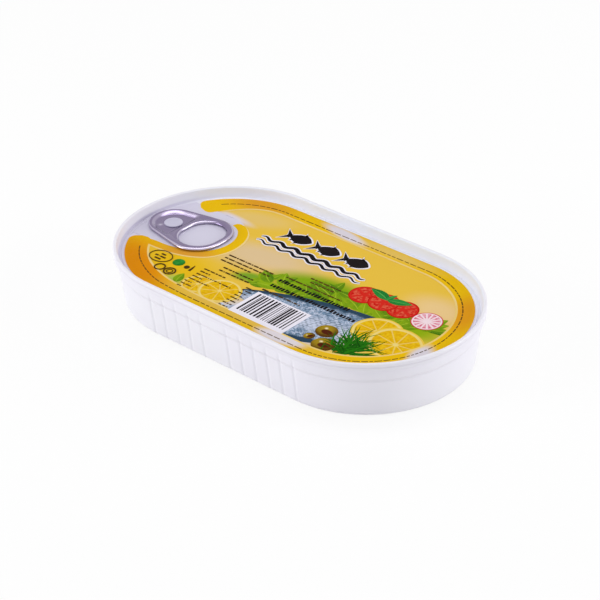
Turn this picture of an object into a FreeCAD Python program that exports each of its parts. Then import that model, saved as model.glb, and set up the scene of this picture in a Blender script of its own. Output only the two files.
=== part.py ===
import FreeCAD, Part
import math
import os

import Sketcher

# Oval easy-open fish tin, shut: a drawn aluminium body, the seamed lid with its
# sunk panel, and the ring pull with the rivet that holds it.
#
# Frame: X runs along the tin with the ring pull at -X, Y across it, Z up.  The
# origin is on the table, under the middle of the tin.  All sizes are in mm.
#
# Every outline, from the oval plan to the ring pull, is one kind of sketch: a
# loop of arcs round a few discs, joined by the straight lines that touch them.

SIZES = (
    # the oval tin as a whole
    ("tin_length", 145.5, "over the seam"),
    ("tin_width", 81.0, "over the seam, twice the end radius"),
    ("tin_height", 22.4, "table to top of seam"),
    # double seam between body and lid
    ("seam_height", 3.0, "height of the rolled seam"),
    ("seam_width", 1.3, "its thickness seen from above"),
    ("seam_round", 0.6, "rounding of its top edges"),
    ("seam_foot_round", 0.35, "rounding of its lower outer edge"),
    # wall of the body, as distances inward from the seam's outer face
    ("neck_inset", 1.25, "straight band under the seam"),
    ("neck_height", 4.3, "height of that band"),
    ("step_inset", 0.45, "step inward at the foot of the band"),
    ("step_round", 0.3, "rounding of the step's edge"),
    ("foot_inset", 3.4, "wall at the table, before its rounding"),
    ("foot_round", 2.1, "rounding between wall and base"),
    # flutes pressed into the two straight flanks
    ("flute_places", 12.0, "evenly spaced places along a flank"),
    ("flute_gap_place", 6.0, "the place that stays plain"),
    ("flute_overhang", 1.5, "flutes reach past the straight flank"),
    ("flute_shift", 1.1, "middle of the row, towards +X"),
    ("flute_radius", 1.0, "radius of a flute's hollow"),
    ("flute_depth", 0.32, "depth of a flute"),
    ("flute_rise", 2.9, "how far a flute climbs the band"),
    # ring pressed into the base
    ("base_ring_inset", 9.5, "outer edge of the ring from the seam"),
    ("base_ring_width", 2.4, "width of the ring"),
    ("base_ring_depth", 0.5, "depth of the ring"),
    # lid inside the seam
    ("panel_depth", 3.6, "top of the seam down to the panel"),
    ("plate_thickness", 0.9, "panel, with the product pressed up to it"),
    ("body_gauge", 0.3, "body sheet between neck and lid"),
    ("lid_gauge", 0.35, "lid sheet inside the body's edge"),
    ("sink_width", 1.1, "gutter round the panel"),
    ("sink_depth", 0.45, "depth of that gutter"),
    ("sink_round", 0.18, "rounding of the gutter's inner edge"),
    ("score_inset", 3.7, "outer edge of the tear line from the seam"),
    ("score_width", 0.25, "width of the tear line"),
    ("score_depth", 0.12, "depth of the tear line"),
    # ring pull, measured from its rivet
    ("rivet_inset", 13.55, "rivet axis from the end of the tin"),
    ("tab_lift", 0.15, "ring pull above the panel"),
    ("tab_thickness", 1.45, "curled edge of the ring pull"),
    ("tab_curl", 2.3, "width of the curled edge"),
    ("tab_round", 0.6, "rounding of the curl's upper edges"),
    ("tab_under_round", 0.4, "rounding of the curl's lower edges"),
    ("nose_radius", 9.1, "nose of the ring pull"),
    ("nose_shift", 0.3, "centre of the nose from the rivet"),
    ("ring_reach", 12.0, "centre of the ring's round side from the rivet"),
    ("ring_radius", 12.5, "radius of that side"),
    ("shoulder_angle", 70.0, "place of the shoulder on the round side, in degrees"),
    ("shoulder_radius", 2.75, "rounding of the shoulder"),
    ("side_angle", 42.0, "first disc that the round side is drawn round, in degrees"),
    ("tip_angle", 14.0, "second disc, in degrees"),
    ("side_radius", 5.5, "radius of these two discs"),
    ("hole_reach", 12.6, "inner corners of the finger hole"),
    ("hole_half", 3.9, "half of their spacing"),
    ("hole_radius", 4.6, "inner corners of the finger hole"),
    ("hole_side_angle", 60.0, "side corners of the finger hole, in degrees"),
    ("hole_side_radius", 4.4, "side corners of the finger hole"),
    ("hole_tip_angle", 24.0, "outer corners of the finger hole, in degrees"),
    ("hole_tip_radius", 4.7, "outer corners of the finger hole"),
    ("well_reach", 3.6, "corners of the well round the rivet"),
    ("well_half", 5.9, "half of their spacing"),
    ("well_radius", 1.6, "corners of the well"),
    ("well_round", 0.3, "rounding of the well's upper edge"),
    ("web_thickness", 0.4, "sheet left under the well"),
    ("pip_reach", 2.6, "pip on the web, from the rivet towards the nose"),
    ("pip_half", 4.1, "pip on the web, from the rivet to one side"),
    ("pip_radius", 0.6, "radius of the pip"),
    ("pip_height", 0.18, "height of the pip"),
    ("pip_round", 0.1, "rounding of the pip"),
    # rivet
    ("rivet_head_radius", 3.4, "flattened head"),
    ("rivet_head_height", 0.4, "thickness of the head"),
    ("rivet_head_round", 0.25, "rounding of the head"),
    ("rivet_shank_radius", 1.6, "shank through the ring pull"),
    ("rivet_collar_radius", 2.6, "collar that carries the ring pull"),
    ("rivet_clearance", 0.05, "shank to ring pull, all round"),
)

document = FreeCAD.newDocument("fish_tin")
sheet = document.addObject("Spreadsheet::Sheet", "sizes")
for row, (alias, size, note) in enumerate(SIZES, start=1):
    sheet.set(f"A{row}", note)
    sheet.set(f"B{row}", str(size))
    sheet.setAlias(f"B{row}", alias)
document.recompute()

# Places that several pieces share, as expressions of the sheet.
SEAM_RADIUS = "(sizes.tin_width / 2)"
HALF_STRAIGHT = "((sizes.tin_length - sizes.tin_width) / 2)"
SEAM_FOOT = "(sizes.tin_height - sizes.seam_height)"
STEP_LEVEL = f"({SEAM_FOOT} - sizes.neck_height)"
PANEL_TOP = "(sizes.tin_height - sizes.panel_depth)"
PLUG_INSET = "(sizes.neck_inset + sizes.body_gauge)"
PLUG_HEIGHT = f"({SEAM_FOOT} - {PANEL_TOP} + sizes.plate_thickness)"
CHUCK_SLOPE = f"(({PLUG_INSET} + sizes.lid_gauge - sizes.seam_width) / sizes.seam_height)"
CHUCK_FOOT = f"(sizes.seam_width + {CHUCK_SLOPE} * sizes.panel_depth)"
FLUTE_PITCH = f"((2 * {HALF_STRAIGHT} + sizes.flute_overhang) / (sizes.flute_places - 1))"
RIVET_X = "(sizes.rivet_inset - sizes.tin_length / 2)"


def value(expression):
    """Number that an expression of the sheet stands for now."""
    result = sheet.evalExpression(expression)
    return float(getattr(result, "Value", result))


def new_body(name, x="0", z="0"):
    """Body for one sub-part, placed on the tin's middle plane at (x, 0, z)."""
    body = document.addObject("PartDesign::Body", name)
    body.Label = name
    body.setExpression(".Placement.Base.x", x)
    body.setExpression(".Placement.Base.z", z)
    return body


def new_sketch(body, name, level="0", role="XY_Plane"):
    """Sketch on one of the body's own origin planes, lifted by level."""
    sketch = body.newObject("Sketcher::SketchObject", name)
    plane = next(item for item in body.Origin.OriginFeatures if item.Role == role)
    sketch.AttachmentSupport = [(plane, "")]
    sketch.MapMode = "FlatFace"
    sketch.setExpression(".AttachmentOffset.Base.z", level)
    return sketch


def bind(sketch, kind, geometry, name, expression):
    """Add one dimension of a sketch and tie it to the sheet."""
    dimension = Sketcher.Constraint(kind, *geometry, value(expression))
    index = sketch.addConstraint(dimension)
    sketch.renameConstraint(index, name)
    sketch.setExpression(f"Constraints.{name}", expression)


def wrap(sketch, prefix, discs):
    """Closed loop round discs (x, y, radius), which are listed anticlockwise.

    Arc k of the loop lies on disc k, and line k runs from arc k to the next
    one and touches both.  On two discs the loop is the oval of the tin.
    """
    sized = [tuple(value(part) for part in disc) for disc in discs]
    spins = []
    for (x0, y0, r0), (x1, y1, r1) in zip(sized, sized[1:] + sized[:1]):
        heading = math.atan2(y1 - y0, x1 - x0)
        lean = math.asin((r1 - r0) / math.hypot(x1 - x0, y1 - y0))
        spins.append(heading - math.pi / 2 - lean)
    first = sketch.GeometryCount
    up = FreeCAD.Vector(0, 0, 1)
    for disc, start, end in zip(sized, spins[-1:] + spins[:-1], spins):
        centre = FreeCAD.Vector(disc[0], disc[1], 0)
        end += 2 * math.pi * math.ceil((start - end) / (2 * math.pi))
        sketch.addGeometry(Part.ArcOfCircle(Part.Circle(centre, up, disc[2]), start, end))
    arcs = sketch.Geometry[first:]
    for here, there in zip(arcs, arcs[1:] + arcs[:1]):
        sketch.addGeometry(Part.LineSegment(here.EndPoint, there.StartPoint))
    count = len(discs)
    for index, (x, y, radius) in enumerate(discs):
        arc = first + index
        line = first + count + index
        following = first + (index + 1) % count
        sketch.addConstraint(Sketcher.Constraint("Tangent", arc, 2, line, 1))
        sketch.addConstraint(Sketcher.Constraint("Tangent", line, 2, following, 1))
        bind(sketch, "DistanceX", (-1, 1, arc, 3), f"{prefix}_x{index}", x)
        bind(sketch, "DistanceY", (-1, 1, arc, 3), f"{prefix}_y{index}", y)
        bind(sketch, "Radius", (arc,), f"{prefix}_radius{index}", radius)


def oval(sketch, inset, prefix="oval"):
    """Plan of the tin, drawn in from the seam's outer face by inset."""
    radius = f"{SEAM_RADIUS} - ({inset})"
    wrap(sketch, prefix, ((HALF_STRAIGHT, "0", radius), (f"-{HALF_STRAIGHT}", "0", radius)))


def circle(sketch, x, y, radius, prefix="circle"):
    """Circle whose centre and radius are tied to the sheet."""
    centre = FreeCAD.Vector(value(x), value(y), 0)
    index = sketch.addGeometry(Part.Circle(centre, FreeCAD.Vector(0, 0, 1), value(radius)))
    bind(sketch, "DistanceX", (-1, 1, index, 3), f"{prefix}_x", x)
    bind(sketch, "DistanceY", (-1, 1, index, 3), f"{prefix}_y", y)
    bind(sketch, "Radius", (index,), f"{prefix}_radius", radius)


def polygon(sketch, corners):
    """Closed run of straight lines through corners (x, y)."""
    points = [FreeCAD.Vector(value(x), value(y), 0) for x, y in corners]
    count = len(points)
    for here, there in zip(points, points[1:] + points[:1]):
        sketch.addGeometry(Part.LineSegment(here, there))
    for index, (x, y) in enumerate(corners):
        sketch.addConstraint(Sketcher.Constraint("Coincident", index, 2, (index + 1) % count, 1))
        bind(sketch, "DistanceX", (-1, 1, index, 1), f"corner_x{index}", x)
        bind(sketch, "DistanceY", (-1, 1, index, 1), f"corner_y{index}", y)


def extrude(body, kind, sketch, length, lean="0", downward=False):
    """Pad or Pocket of a sketch, with its walls leaning by the angle lean."""
    feature = body.newObject(f"PartDesign::{kind}", f"{sketch.Name}_{kind.lower()}")
    feature.Profile = sketch
    feature.setExpression("Length", length)
    feature.setExpression("TaperAngle", lean)
    feature.Reversed = downward
    volume = body.Shape.Volume if kind == "Pocket" else 0.0
    document.recompute()
    if kind == "Pocket" and body.Shape.Volume > volume - 1e-6:
        raise RuntimeError(f"{feature.Name} removes nothing")
    return feature


def round_edges(body, name, radius, wanted):
    """Fillet of every edge of the body that the test picks."""
    document.recompute()
    base = body.Tip
    picked = [f"Edge{i}" for i, edge in enumerate(base.Shape.Edges, start=1) if wanted(edge)]
    if not picked:
        raise RuntimeError(f"{name} finds no edge")
    fillet = body.newObject("PartDesign::Fillet", name)
    fillet.Base = (base, picked)
    fillet.setExpression("Radius", radius)
    document.recompute()
    return fillet


def at_level(edge, level):
    """True for an edge that lies flat at the given height."""
    box = edge.BoundBox
    return abs(box.ZMin - level) < 1e-4 and abs(box.ZMax - level) < 1e-4


def on_oval(edge, inset):
    """True for an edge on the oval that lies inside the seam by inset."""
    radius = value(SEAM_RADIUS) - value(inset)
    reach = max(abs(edge.BoundBox.YMin), abs(edge.BoundBox.YMax))
    return abs(reach - radius) < 1e-3


def flute_row(body, name, first_place, count):
    """Flutes from first_place on, in both flanks.

    A flute is a slanting half-round hollow that follows the lean of the wall,
    and an upright one above it in the band under the seam.
    """
    x = f"(sizes.flute_shift + ({first_place} - (sizes.flute_places - 1) / 2) * {FLUTE_PITCH})"
    centre = "sizes.flute_radius - sizes.flute_depth"
    foot = new_sketch(body, f"{name}_foot")
    circle(foot, x, f"-({SEAM_RADIUS} - sizes.foot_inset + {centre})", "sizes.flute_radius")
    head = new_sketch(body, f"{name}_head", STEP_LEVEL)
    circle(head, x, f"-({SEAM_RADIUS} - sizes.neck_inset - sizes.step_inset + {centre})",
           "sizes.flute_radius")
    slant = body.newObject("PartDesign::SubtractiveLoft", f"{name}_slant")
    slant.Profile = foot
    slant.Sections = [head]
    document.recompute()
    band = new_sketch(body, f"{name}_band", STEP_LEVEL)
    circle(band, x, f"-({SEAM_RADIUS} - sizes.neck_inset + {centre})", "sizes.flute_radius")
    upright = extrude(body, "Pocket", band, "sizes.flute_rise", downward=True)
    repeat = body.newObject("PartDesign::MultiTransform", f"{name}_repeat")
    repeat.Originals = [slant, upright]
    along = document.addObject("PartDesign::LinearPattern", f"{name}_along")
    along.Direction = (foot, ["H_Axis"])
    along.setExpression("Length", f"{FLUTE_PITCH} * ({count} - 1)")
    along.setExpression("Occurrences", count)
    across = document.addObject("PartDesign::Mirrored", f"{name}_across")
    across.MirrorPlane = (foot, ["H_Axis"])
    repeat.Transformations = [along, across]
    body.Tip = repeat
    document.recompute()


def build_can_body():
    """Drawn body: leaning wall, step, straight band, and the seat of the lid."""
    body = new_body("can_body")
    wall = new_sketch(body, "wall_plan")
    oval(wall, "sizes.foot_inset")
    lean = f"atan((sizes.foot_inset - sizes.neck_inset - sizes.step_inset) / {STEP_LEVEL})"
    extrude(body, "Pad", wall, STEP_LEVEL, lean)
    band = new_sketch(body, "band_plan", STEP_LEVEL)
    oval(band, "sizes.neck_inset")
    extrude(body, "Pad", band, "sizes.neck_height")
    step = value(STEP_LEVEL)
    round_edges(body, "foot_edge", "sizes.foot_round", lambda edge: at_level(edge, 0))
    round_edges(body, "step_edge", "sizes.step_round",
                lambda edge: at_level(edge, step) and on_oval(edge, "sizes.neck_inset"))
    flute_row(body, "left_flute", "0", "sizes.flute_gap_place - 1")
    flute_row(body, "right_flute", "sizes.flute_gap_place",
              "sizes.flute_places - sizes.flute_gap_place")
    seat = new_sketch(body, "lid_seat", SEAM_FOOT)
    oval(seat, PLUG_INSET)
    extrude(body, "Pocket", seat, PLUG_HEIGHT)
    ring = new_sketch(body, "base_ring")
    oval(ring, "sizes.base_ring_inset", "outer")
    oval(ring, "sizes.base_ring_inset + sizes.base_ring_width", "inner")
    extrude(body, "Pocket", ring, "sizes.base_ring_depth", downward=True)
    return body


def build_lid_end():
    """Easy-open lid: rolled seam, wall inside it, gutter, panel and tear line."""
    body = new_body("lid_end", z=SEAM_FOOT)
    seam = new_sketch(body, "seam_plan")
    oval(seam, "0")
    extrude(body, "Pad", seam, "sizes.seam_height")
    plug = new_sketch(body, "plug_plan")
    oval(plug, PLUG_INSET)
    extrude(body, "Pad", plug, PLUG_HEIGHT, downward=True)
    chuck = new_sketch(body, "chuck_plan", "sizes.seam_height")
    oval(chuck, "sizes.seam_width")
    extrude(body, "Pocket", chuck, "sizes.panel_depth", f"-atan({CHUCK_SLOPE})")
    sink_inner = f"{CHUCK_FOOT} + sizes.sink_width"
    sink = new_sketch(body, "sink_plan", "sizes.seam_height - sizes.panel_depth")
    oval(sink, CHUCK_FOOT, "outer")
    oval(sink, sink_inner, "inner")
    extrude(body, "Pocket", sink, "sizes.sink_depth")
    score = new_sketch(body, "score_plan", "sizes.seam_height - sizes.panel_depth")
    oval(score, "sizes.score_inset", "outer")
    oval(score, "sizes.score_inset + sizes.score_width", "inner")
    extrude(body, "Pocket", score, "sizes.score_depth")
    top = value("sizes.seam_height")
    panel = value("sizes.seam_height - sizes.panel_depth")
    round_edges(body, "seam_top", "sizes.seam_round", lambda edge: at_level(edge, top))
    round_edges(body, "seam_foot", "sizes.seam_foot_round",
                lambda edge: at_level(edge, 0) and on_oval(edge, "0"))
    round_edges(body, "sink_edge", "sizes.sink_round",
                lambda edge: at_level(edge, panel) and on_oval(edge, sink_inner))
    return body


def mirrored(*discs):
    """Discs in order, then their mirror images in reverse, for a loop that
    is symmetric about X.  A disc on the X axis comes first and only once."""
    lower = [(x, f"-({y})", radius) for x, y, radius in discs if y != "0"]
    upper = [disc for disc in reversed(discs) if disc[1] != "0"]
    return [disc for disc in discs if disc[1] == "0"] + lower + upper


def on_ring(angle, radius, inset="0"):
    """Disc that touches the ring's round side, drawn in by inset, from inside."""
    reach = f"(sizes.ring_radius - {inset} - {radius})"
    return (f"sizes.ring_reach + {reach} * cos({angle})", f"{reach} * sin({angle})", radius)


def build_pull_tab():
    """Ring pull: curled edge, finger hole, a well round the rivet, and a pip."""
    body = new_body("pull_tab", x=RIVET_X, z=f"{PANEL_TOP} + sizes.tab_lift")
    outline = new_sketch(body, "tab_outline")
    wrap(outline, "edge", mirrored(
        ("sizes.nose_shift", "0", "sizes.nose_radius"),
        on_ring("sizes.shoulder_angle", "sizes.shoulder_radius"),
        on_ring("sizes.side_angle", "sizes.side_radius"),
        on_ring("sizes.tip_angle", "sizes.side_radius")))
    extrude(body, "Pad", outline, "sizes.tab_thickness")
    hole = new_sketch(body, "finger_hole", "sizes.tab_thickness")
    wrap(hole, "edge", mirrored(
        ("sizes.hole_reach", "sizes.hole_half", "sizes.hole_radius"),
        on_ring("sizes.hole_side_angle", "sizes.hole_side_radius", "sizes.tab_curl"),
        on_ring("sizes.hole_tip_angle", "sizes.hole_tip_radius", "sizes.tab_curl")))
    extrude(body, "Pocket", hole, "sizes.tab_thickness")
    thickness = value("sizes.tab_thickness")
    round_edges(body, "curl_top", "sizes.tab_round", lambda edge: at_level(edge, thickness))
    round_edges(body, "curl_foot", "sizes.tab_under_round", lambda edge: at_level(edge, 0))
    well = new_sketch(body, "rivet_well", "sizes.tab_thickness")
    wrap(well, "edge", mirrored(
        ("sizes.nose_shift", "0", "sizes.nose_radius - sizes.tab_curl"),
        ("sizes.well_reach", "sizes.well_half", "sizes.well_radius")))
    extrude(body, "Pocket", well, "sizes.tab_thickness - sizes.web_thickness")
    reach = value("sizes.well_reach + sizes.well_radius")
    round_edges(body, "well_edge", "sizes.well_round",
                lambda edge: at_level(edge, thickness) and edge.BoundBox.XMax < reach + 0.01)
    rivet_hole = new_sketch(body, "rivet_hole", "sizes.web_thickness")
    circle(rivet_hole, "0", "0", "sizes.rivet_shank_radius + sizes.rivet_clearance")
    extrude(body, "Pocket", rivet_hole, "sizes.web_thickness")
    pip = new_sketch(body, "pip", "sizes.web_thickness")
    circle(pip, "-sizes.pip_reach", "-sizes.pip_half", "sizes.pip_radius")
    extrude(body, "Pad", pip, "sizes.pip_height")
    pip_top = value("sizes.web_thickness + sizes.pip_height")
    round_edges(body, "pip_edge", "sizes.pip_round", lambda edge: at_level(edge, pip_top))
    return body


def build_rivet():
    """Rivet turned in one profile: collar, shank and flattened head."""
    body = new_body("rivet", x=RIVET_X, z=PANEL_TOP)
    profile = new_sketch(body, "rivet_profile", role="XZ_Plane")
    under_head = "sizes.tab_lift + sizes.web_thickness"
    top = f"{under_head} + sizes.rivet_head_height"
    polygon(profile, (
        ("0", "0"),
        ("sizes.rivet_collar_radius", "0"),
        ("sizes.rivet_collar_radius", "sizes.tab_lift"),
        ("sizes.rivet_shank_radius", "sizes.tab_lift"),
        ("sizes.rivet_shank_radius", under_head),
        ("sizes.rivet_head_radius", under_head),
        ("sizes.rivet_head_radius", top),
        ("0", top)))
    turned = body.newObject("PartDesign::Revolution", "rivet_turned")
    turned.Profile = profile
    turned.ReferenceAxis = (profile, ["V_Axis"])
    turned.Angle = 360
    document.recompute()
    level = value(top)
    round_edges(body, "rivet_crown", "sizes.rivet_head_round", lambda edge: at_level(edge, level))
    return body


parts = [build_can_body(), build_lid_end(), build_pull_tab(), build_rivet()]
document.recompute()

for item in document.Objects:
    if {"Invalid", "Error"} & set(item.State):
        raise RuntimeError(f"{item.Name} did not recompute: {item.State}")
for part in parts:
    if part.Shape.isNull() or not part.Shape.isValid() or len(part.Shape.Solids) != 1:
        raise RuntimeError(f"{part.Label} is not one valid solid")

os.makedirs("parts", exist_ok=True)
for part in parts:
    box = part.Shape.optimalBoundingBox(False, False)
    print(f"{part.Label}: {part.Shape.Volume:.1f} mm3, "
          f"{box.XLength:.2f} x {box.YLength:.2f} x {box.ZLength:.2f} mm")
    part.Shape.exportStep(f"parts/{part.Label}.step")
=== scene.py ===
import logging
import math
from dataclasses import dataclass, replace
from enum import Enum

import bmesh
import bpy
import numpy as np
from mathutils import Matrix, Vector
from numpy.typing import NDArray


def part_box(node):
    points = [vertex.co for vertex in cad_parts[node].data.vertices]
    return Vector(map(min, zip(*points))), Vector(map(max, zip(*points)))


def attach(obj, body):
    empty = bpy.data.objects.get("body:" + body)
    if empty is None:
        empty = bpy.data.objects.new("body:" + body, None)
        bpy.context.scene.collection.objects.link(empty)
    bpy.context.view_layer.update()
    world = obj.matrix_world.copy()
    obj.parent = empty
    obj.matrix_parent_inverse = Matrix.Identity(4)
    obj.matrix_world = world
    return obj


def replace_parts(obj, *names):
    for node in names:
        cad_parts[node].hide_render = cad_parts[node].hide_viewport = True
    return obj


# Looks of a shut oval fish tin: lacquered body, seamed lid with its print, and
# the ring pull.  Lengths are millimetres until a mesh is written, except in the
# studio, where they are metres.

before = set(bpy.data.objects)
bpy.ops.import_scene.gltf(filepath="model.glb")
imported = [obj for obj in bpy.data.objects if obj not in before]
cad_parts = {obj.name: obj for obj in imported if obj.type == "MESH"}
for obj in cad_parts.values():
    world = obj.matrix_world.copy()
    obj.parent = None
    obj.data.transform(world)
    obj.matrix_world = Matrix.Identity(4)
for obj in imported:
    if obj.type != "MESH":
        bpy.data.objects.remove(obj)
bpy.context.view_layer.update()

Array = NDArray[np.float64]
Faces = NDArray[np.int64]
Place = tuple[float, float]
Span = tuple[float, float]
Patch = tuple[Array, Array]
Colour = tuple[float, float, float]
Disc = tuple[float, float, float]
Piece = bpy.types.Object

LOG = logging.getLogger("fish_tin")
BODY = "root"
UV_NAME = "motif"
TONE_NAME = "tone"
FULL_TURN = 2.0 * math.pi

MM = 0.001  # one millimetre, in metres
MERGE = 1e-6  # points nearer than this, in metres, are one
FILM_GAP = 0.003  # from the panel to the underside of a printed film
LONGEST_STEP = 1.6  # in height, between two rings of points
ARC_STEPS = 7  # points on the arc of each rounded corner
HOOP_POINTS = 65  # points round each printed ring
ARC_HOLD = 0.06  # from an arc to the points that keep the flats flat
LID_SEAT_INSET = 1.55
LID_SEAT_LEVEL = 17.9
STEP_LEVEL = 15.1


def ink(red: int, green: int, blue: int) -> Colour:
    """Linear colour of a tint that is named by its display values, 0 to 255.

    Args:
        red, green, blue: the display values.

    Returns:
        The linear colour: c/12.92 below 0.04045, else ((c+0.055)/1.055)**2.4.
    """
    shown = np.array([red, green, blue]) / 255.0
    linear = np.where(shown <= 0.04045, shown / 12.92, ((shown + 0.055) / 1.055) ** 2.4)
    return tuple(linear.tolist())


def ease(value: Array, low: float, high: float) -> Array:
    """Smooth step: 0 below low, 1 above high, 3t^2 - 2t^3 between them."""
    t = np.clip((value - low) / (high - low), 0.0, 1.0)
    return t * t * (3.0 - 2.0 * t)


def turned(x: Array, y: Array, degrees: float, centre: Place) -> tuple[Array, Array]:
    """The x and y of points turned about the origin by degrees, then moved to centre."""
    angle = math.radians(degrees)
    return (centre[0] + x * math.cos(angle) - y * math.sin(angle),
            centre[1] + x * math.sin(angle) + y * math.cos(angle))


# ---------------------------------------------------------------- meshes


def grid_faces(rows: int, columns: int, wrap_rows: bool, wrap_columns: bool) -> Faces:
    """Corner indices of the quads of a grid of points.

    Args:
        rows, columns: size of the grid.
        wrap_rows: the last row joins the first.
        wrap_columns: the last column joins the first.

    Returns:
        One row of four indices per quad, where point (r, c) is r*columns + c.
    """
    last_row = rows if wrap_rows else rows - 1
    last_column = columns if wrap_columns else columns - 1
    r, c = np.meshgrid(np.arange(last_row), np.arange(last_column), indexing="ij")
    here, right = r * columns + c, r * columns + (c + 1) % columns
    above = (r + 1) % rows * columns + c
    across = (r + 1) % rows * columns + (c + 1) % columns
    return np.stack([here, right, across, above], axis=-1).reshape(-1, 4)


def new_mesh(name: str, points: Array, quads: Faces) -> bpy.types.Mesh:
    """Mesh of quads from points in millimetres, put in as whole arrays."""
    mesh = bpy.data.meshes.new(name)
    mesh.vertices.add(len(points))
    mesh.vertices.foreach_set("co", (points * MM).ravel())
    mesh.loops.add(quads.size)
    mesh.loops.foreach_set("vertex_index", quads.ravel())
    mesh.polygons.add(len(quads))
    mesh.polygons.foreach_set("loop_start", np.arange(0, quads.size, 4))
    mesh.update(calc_edges=True)
    mesh.validate()
    return mesh


def give_tone(mesh: bpy.types.Mesh, tone: Array) -> None:
    """Store a value from 0 to 1 at each point, for the materials that read it."""
    made = mesh.attributes.new(TONE_NAME, "FLOAT", "POINT")
    made.data.foreach_set("value", tone.ravel())


def weld(mesh: bpy.types.Mesh, distance: float, closed: bool = False) -> None:
    """Join points that lie within distance, in metres; turn a closed mesh's faces out."""
    skin = bmesh.new()
    skin.from_mesh(mesh)
    bmesh.ops.remove_doubles(skin, verts=skin.verts, dist=distance)
    bmesh.ops.dissolve_degenerate(skin, edges=skin.edges, dist=MERGE / 10)
    if closed:
        bmesh.ops.recalc_face_normals(skin, faces=skin.faces)
    skin.to_mesh(mesh)
    skin.free()


def placed(name: str, data: bpy.types.ID) -> Piece:
    """Object that shows data, put in the scene."""
    made = bpy.data.objects.new(name, data)
    bpy.context.scene.collection.objects.link(made)
    return made


def finished_shell(name: str, points: Array, wrap_rows: bool, sharp: float,
                   tone: Array | None = None) -> Piece:
    """Closed smooth object from a grid whose columns go round it.

    Args:
        name: name of the piece.
        points: grid of shape (rows, columns, 3); rows that shrink to a line or
            a point are welded, which closes the shell.
        wrap_rows: the last row joins the first, as on a ring.
        sharp: edges that turn by more than this angle, in degrees, stay sharp.
        tone: a value from 0 to 1 at each point for the material, if it reads one.

    Returns:
        The object, with its faces turned outwards.
    """
    mesh = new_mesh(name, points.reshape(-1, 3), grid_faces(*points.shape[:2], wrap_rows, True))
    if tone is not None:
        give_tone(mesh, tone)
    weld(mesh, MERGE, True)
    mesh.shade_smooth()
    mesh.set_sharp_from_angle(angle=math.radians(sharp))
    return placed(name, mesh)


def dressed(piece: Piece, finish: "Finish") -> Piece:
    """Give a piece its material, let it ride on the tin and log it."""
    piece.data.materials.append(finish.material())
    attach(piece, BODY)
    LOG.info("%s: %d faces, %s", piece.name, len(piece.data.polygons), finish.name)
    return piece


@dataclass(frozen=True)
class Oval:
    """Plan of the tin: two half circles joined by straight flanks.

    Distances s along its outline run anticlockwise from the middle of the near
    flank.
    """

    half_straight: float
    radius: float

    @property
    def lap(self) -> float:
        """Length of the outline."""
        return 4 * self.half_straight + FULL_TURN * self.radius

    @property
    def half_end(self) -> float:
        """Length of the outline from a flank to the nose."""
        return math.pi / 2 * self.radius

    def nose(self, degrees: float) -> float:
        """Distance s to a place on the left end.

        Args:
            degrees: angle from the left nose, positive towards the near flank.

        Returns:
            The distance, counted from a lap before it.
        """
        return self.radius * math.radians(degrees) - self.lap / 4

    def span(self, start: float, stop: float) -> Span:
        """Distances s of two places on the left end, the second nearly a lap on."""
        return self.nose(start), self.lap + self.nose(stop)

    def walk(self, along: Array, arc: Array) -> Array:
        """Distances s once round the oval.

        Args:
            along: x of the places on each flank, from its left end on.
            arc: distances round each end from a flank to the nose, with 0 for
                the first of them.

        Returns:
            The distances, from the left of the near flank.
        """
        half, quarter = self.lap / 2, self.lap / 4
        past = self.half_straight + arc
        end = np.concatenate([past, [quarter], half - past[:0:-1]])
        far = half - np.concatenate([past[:1], along[:0:-1]])
        return np.concatenate([along, end, far, half + end])

    def reach(self, s: Array) -> Array:
        """Distance along the outline from the middle of the nearer flank, towards +x."""
        quarter = self.lap / 4
        return quarter - np.abs(np.mod(s + quarter, self.lap) - self.lap / 2)

    def at(self, s: Array) -> tuple[Array, Array]:
        """Feet that the outline is measured from and outward normals at distances s."""
        h, turn = self.half_straight, math.pi * self.radius
        s = np.mod(s + h, self.lap)
        ends = np.cumsum([2 * h, turn, 2 * h])
        parts = [s < ends[0], s < ends[1], s < ends[2]]
        angle = np.select(parts, [-np.pi / 2, (s - ends[0]) / self.radius - np.pi / 2, np.pi / 2],
                          (s - ends[2]) / self.radius + np.pi / 2)
        x = np.select(parts, [s - h, h, h - (s - ends[1])], -h)
        return np.stack([x, 0 * x], -1), np.stack([np.cos(angle), np.sin(angle)], -1)

    def inside(self, s: Array, inset: Array | float) -> Array:
        """Points drawn in from the outline by inset: foot + (radius - inset) * normal."""
        feet, normals = self.at(s)
        return feet + np.asarray(self.radius - inset)[..., None] * normals

    def sweep(self, s: Array, inset: Array, height: Array) -> Array:
        """Profile carried round the oval, as a grid of points inside at a height."""
        plan = self.inside(s[None], inset)
        return np.concatenate([plan, np.broadcast_to(height, plan.shape[:2])[..., None]], -1)

    def half_width(self, x: Array, inset: float) -> Array:
        """Half of the oval's width at x, drawn in by inset."""
        past = np.maximum(np.abs(x) - self.half_straight, 0.0)
        return np.sqrt(np.maximum((self.radius - inset) ** 2 - past ** 2, 0.0))

    def within(self, plan: Array, inset: float) -> Array:
        """Points with those beyond the inset outline drawn back to it."""
        foot = np.stack([np.clip(plan[..., 0], -self.half_straight, self.half_straight),
                         0 * plan[..., 0]], -1)
        away = np.linalg.norm(plan - foot, axis=-1, keepdims=True)
        limit = self.radius - inset
        return foot + (plan - foot) * np.minimum(1.0, limit / np.maximum(away, limit))


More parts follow.
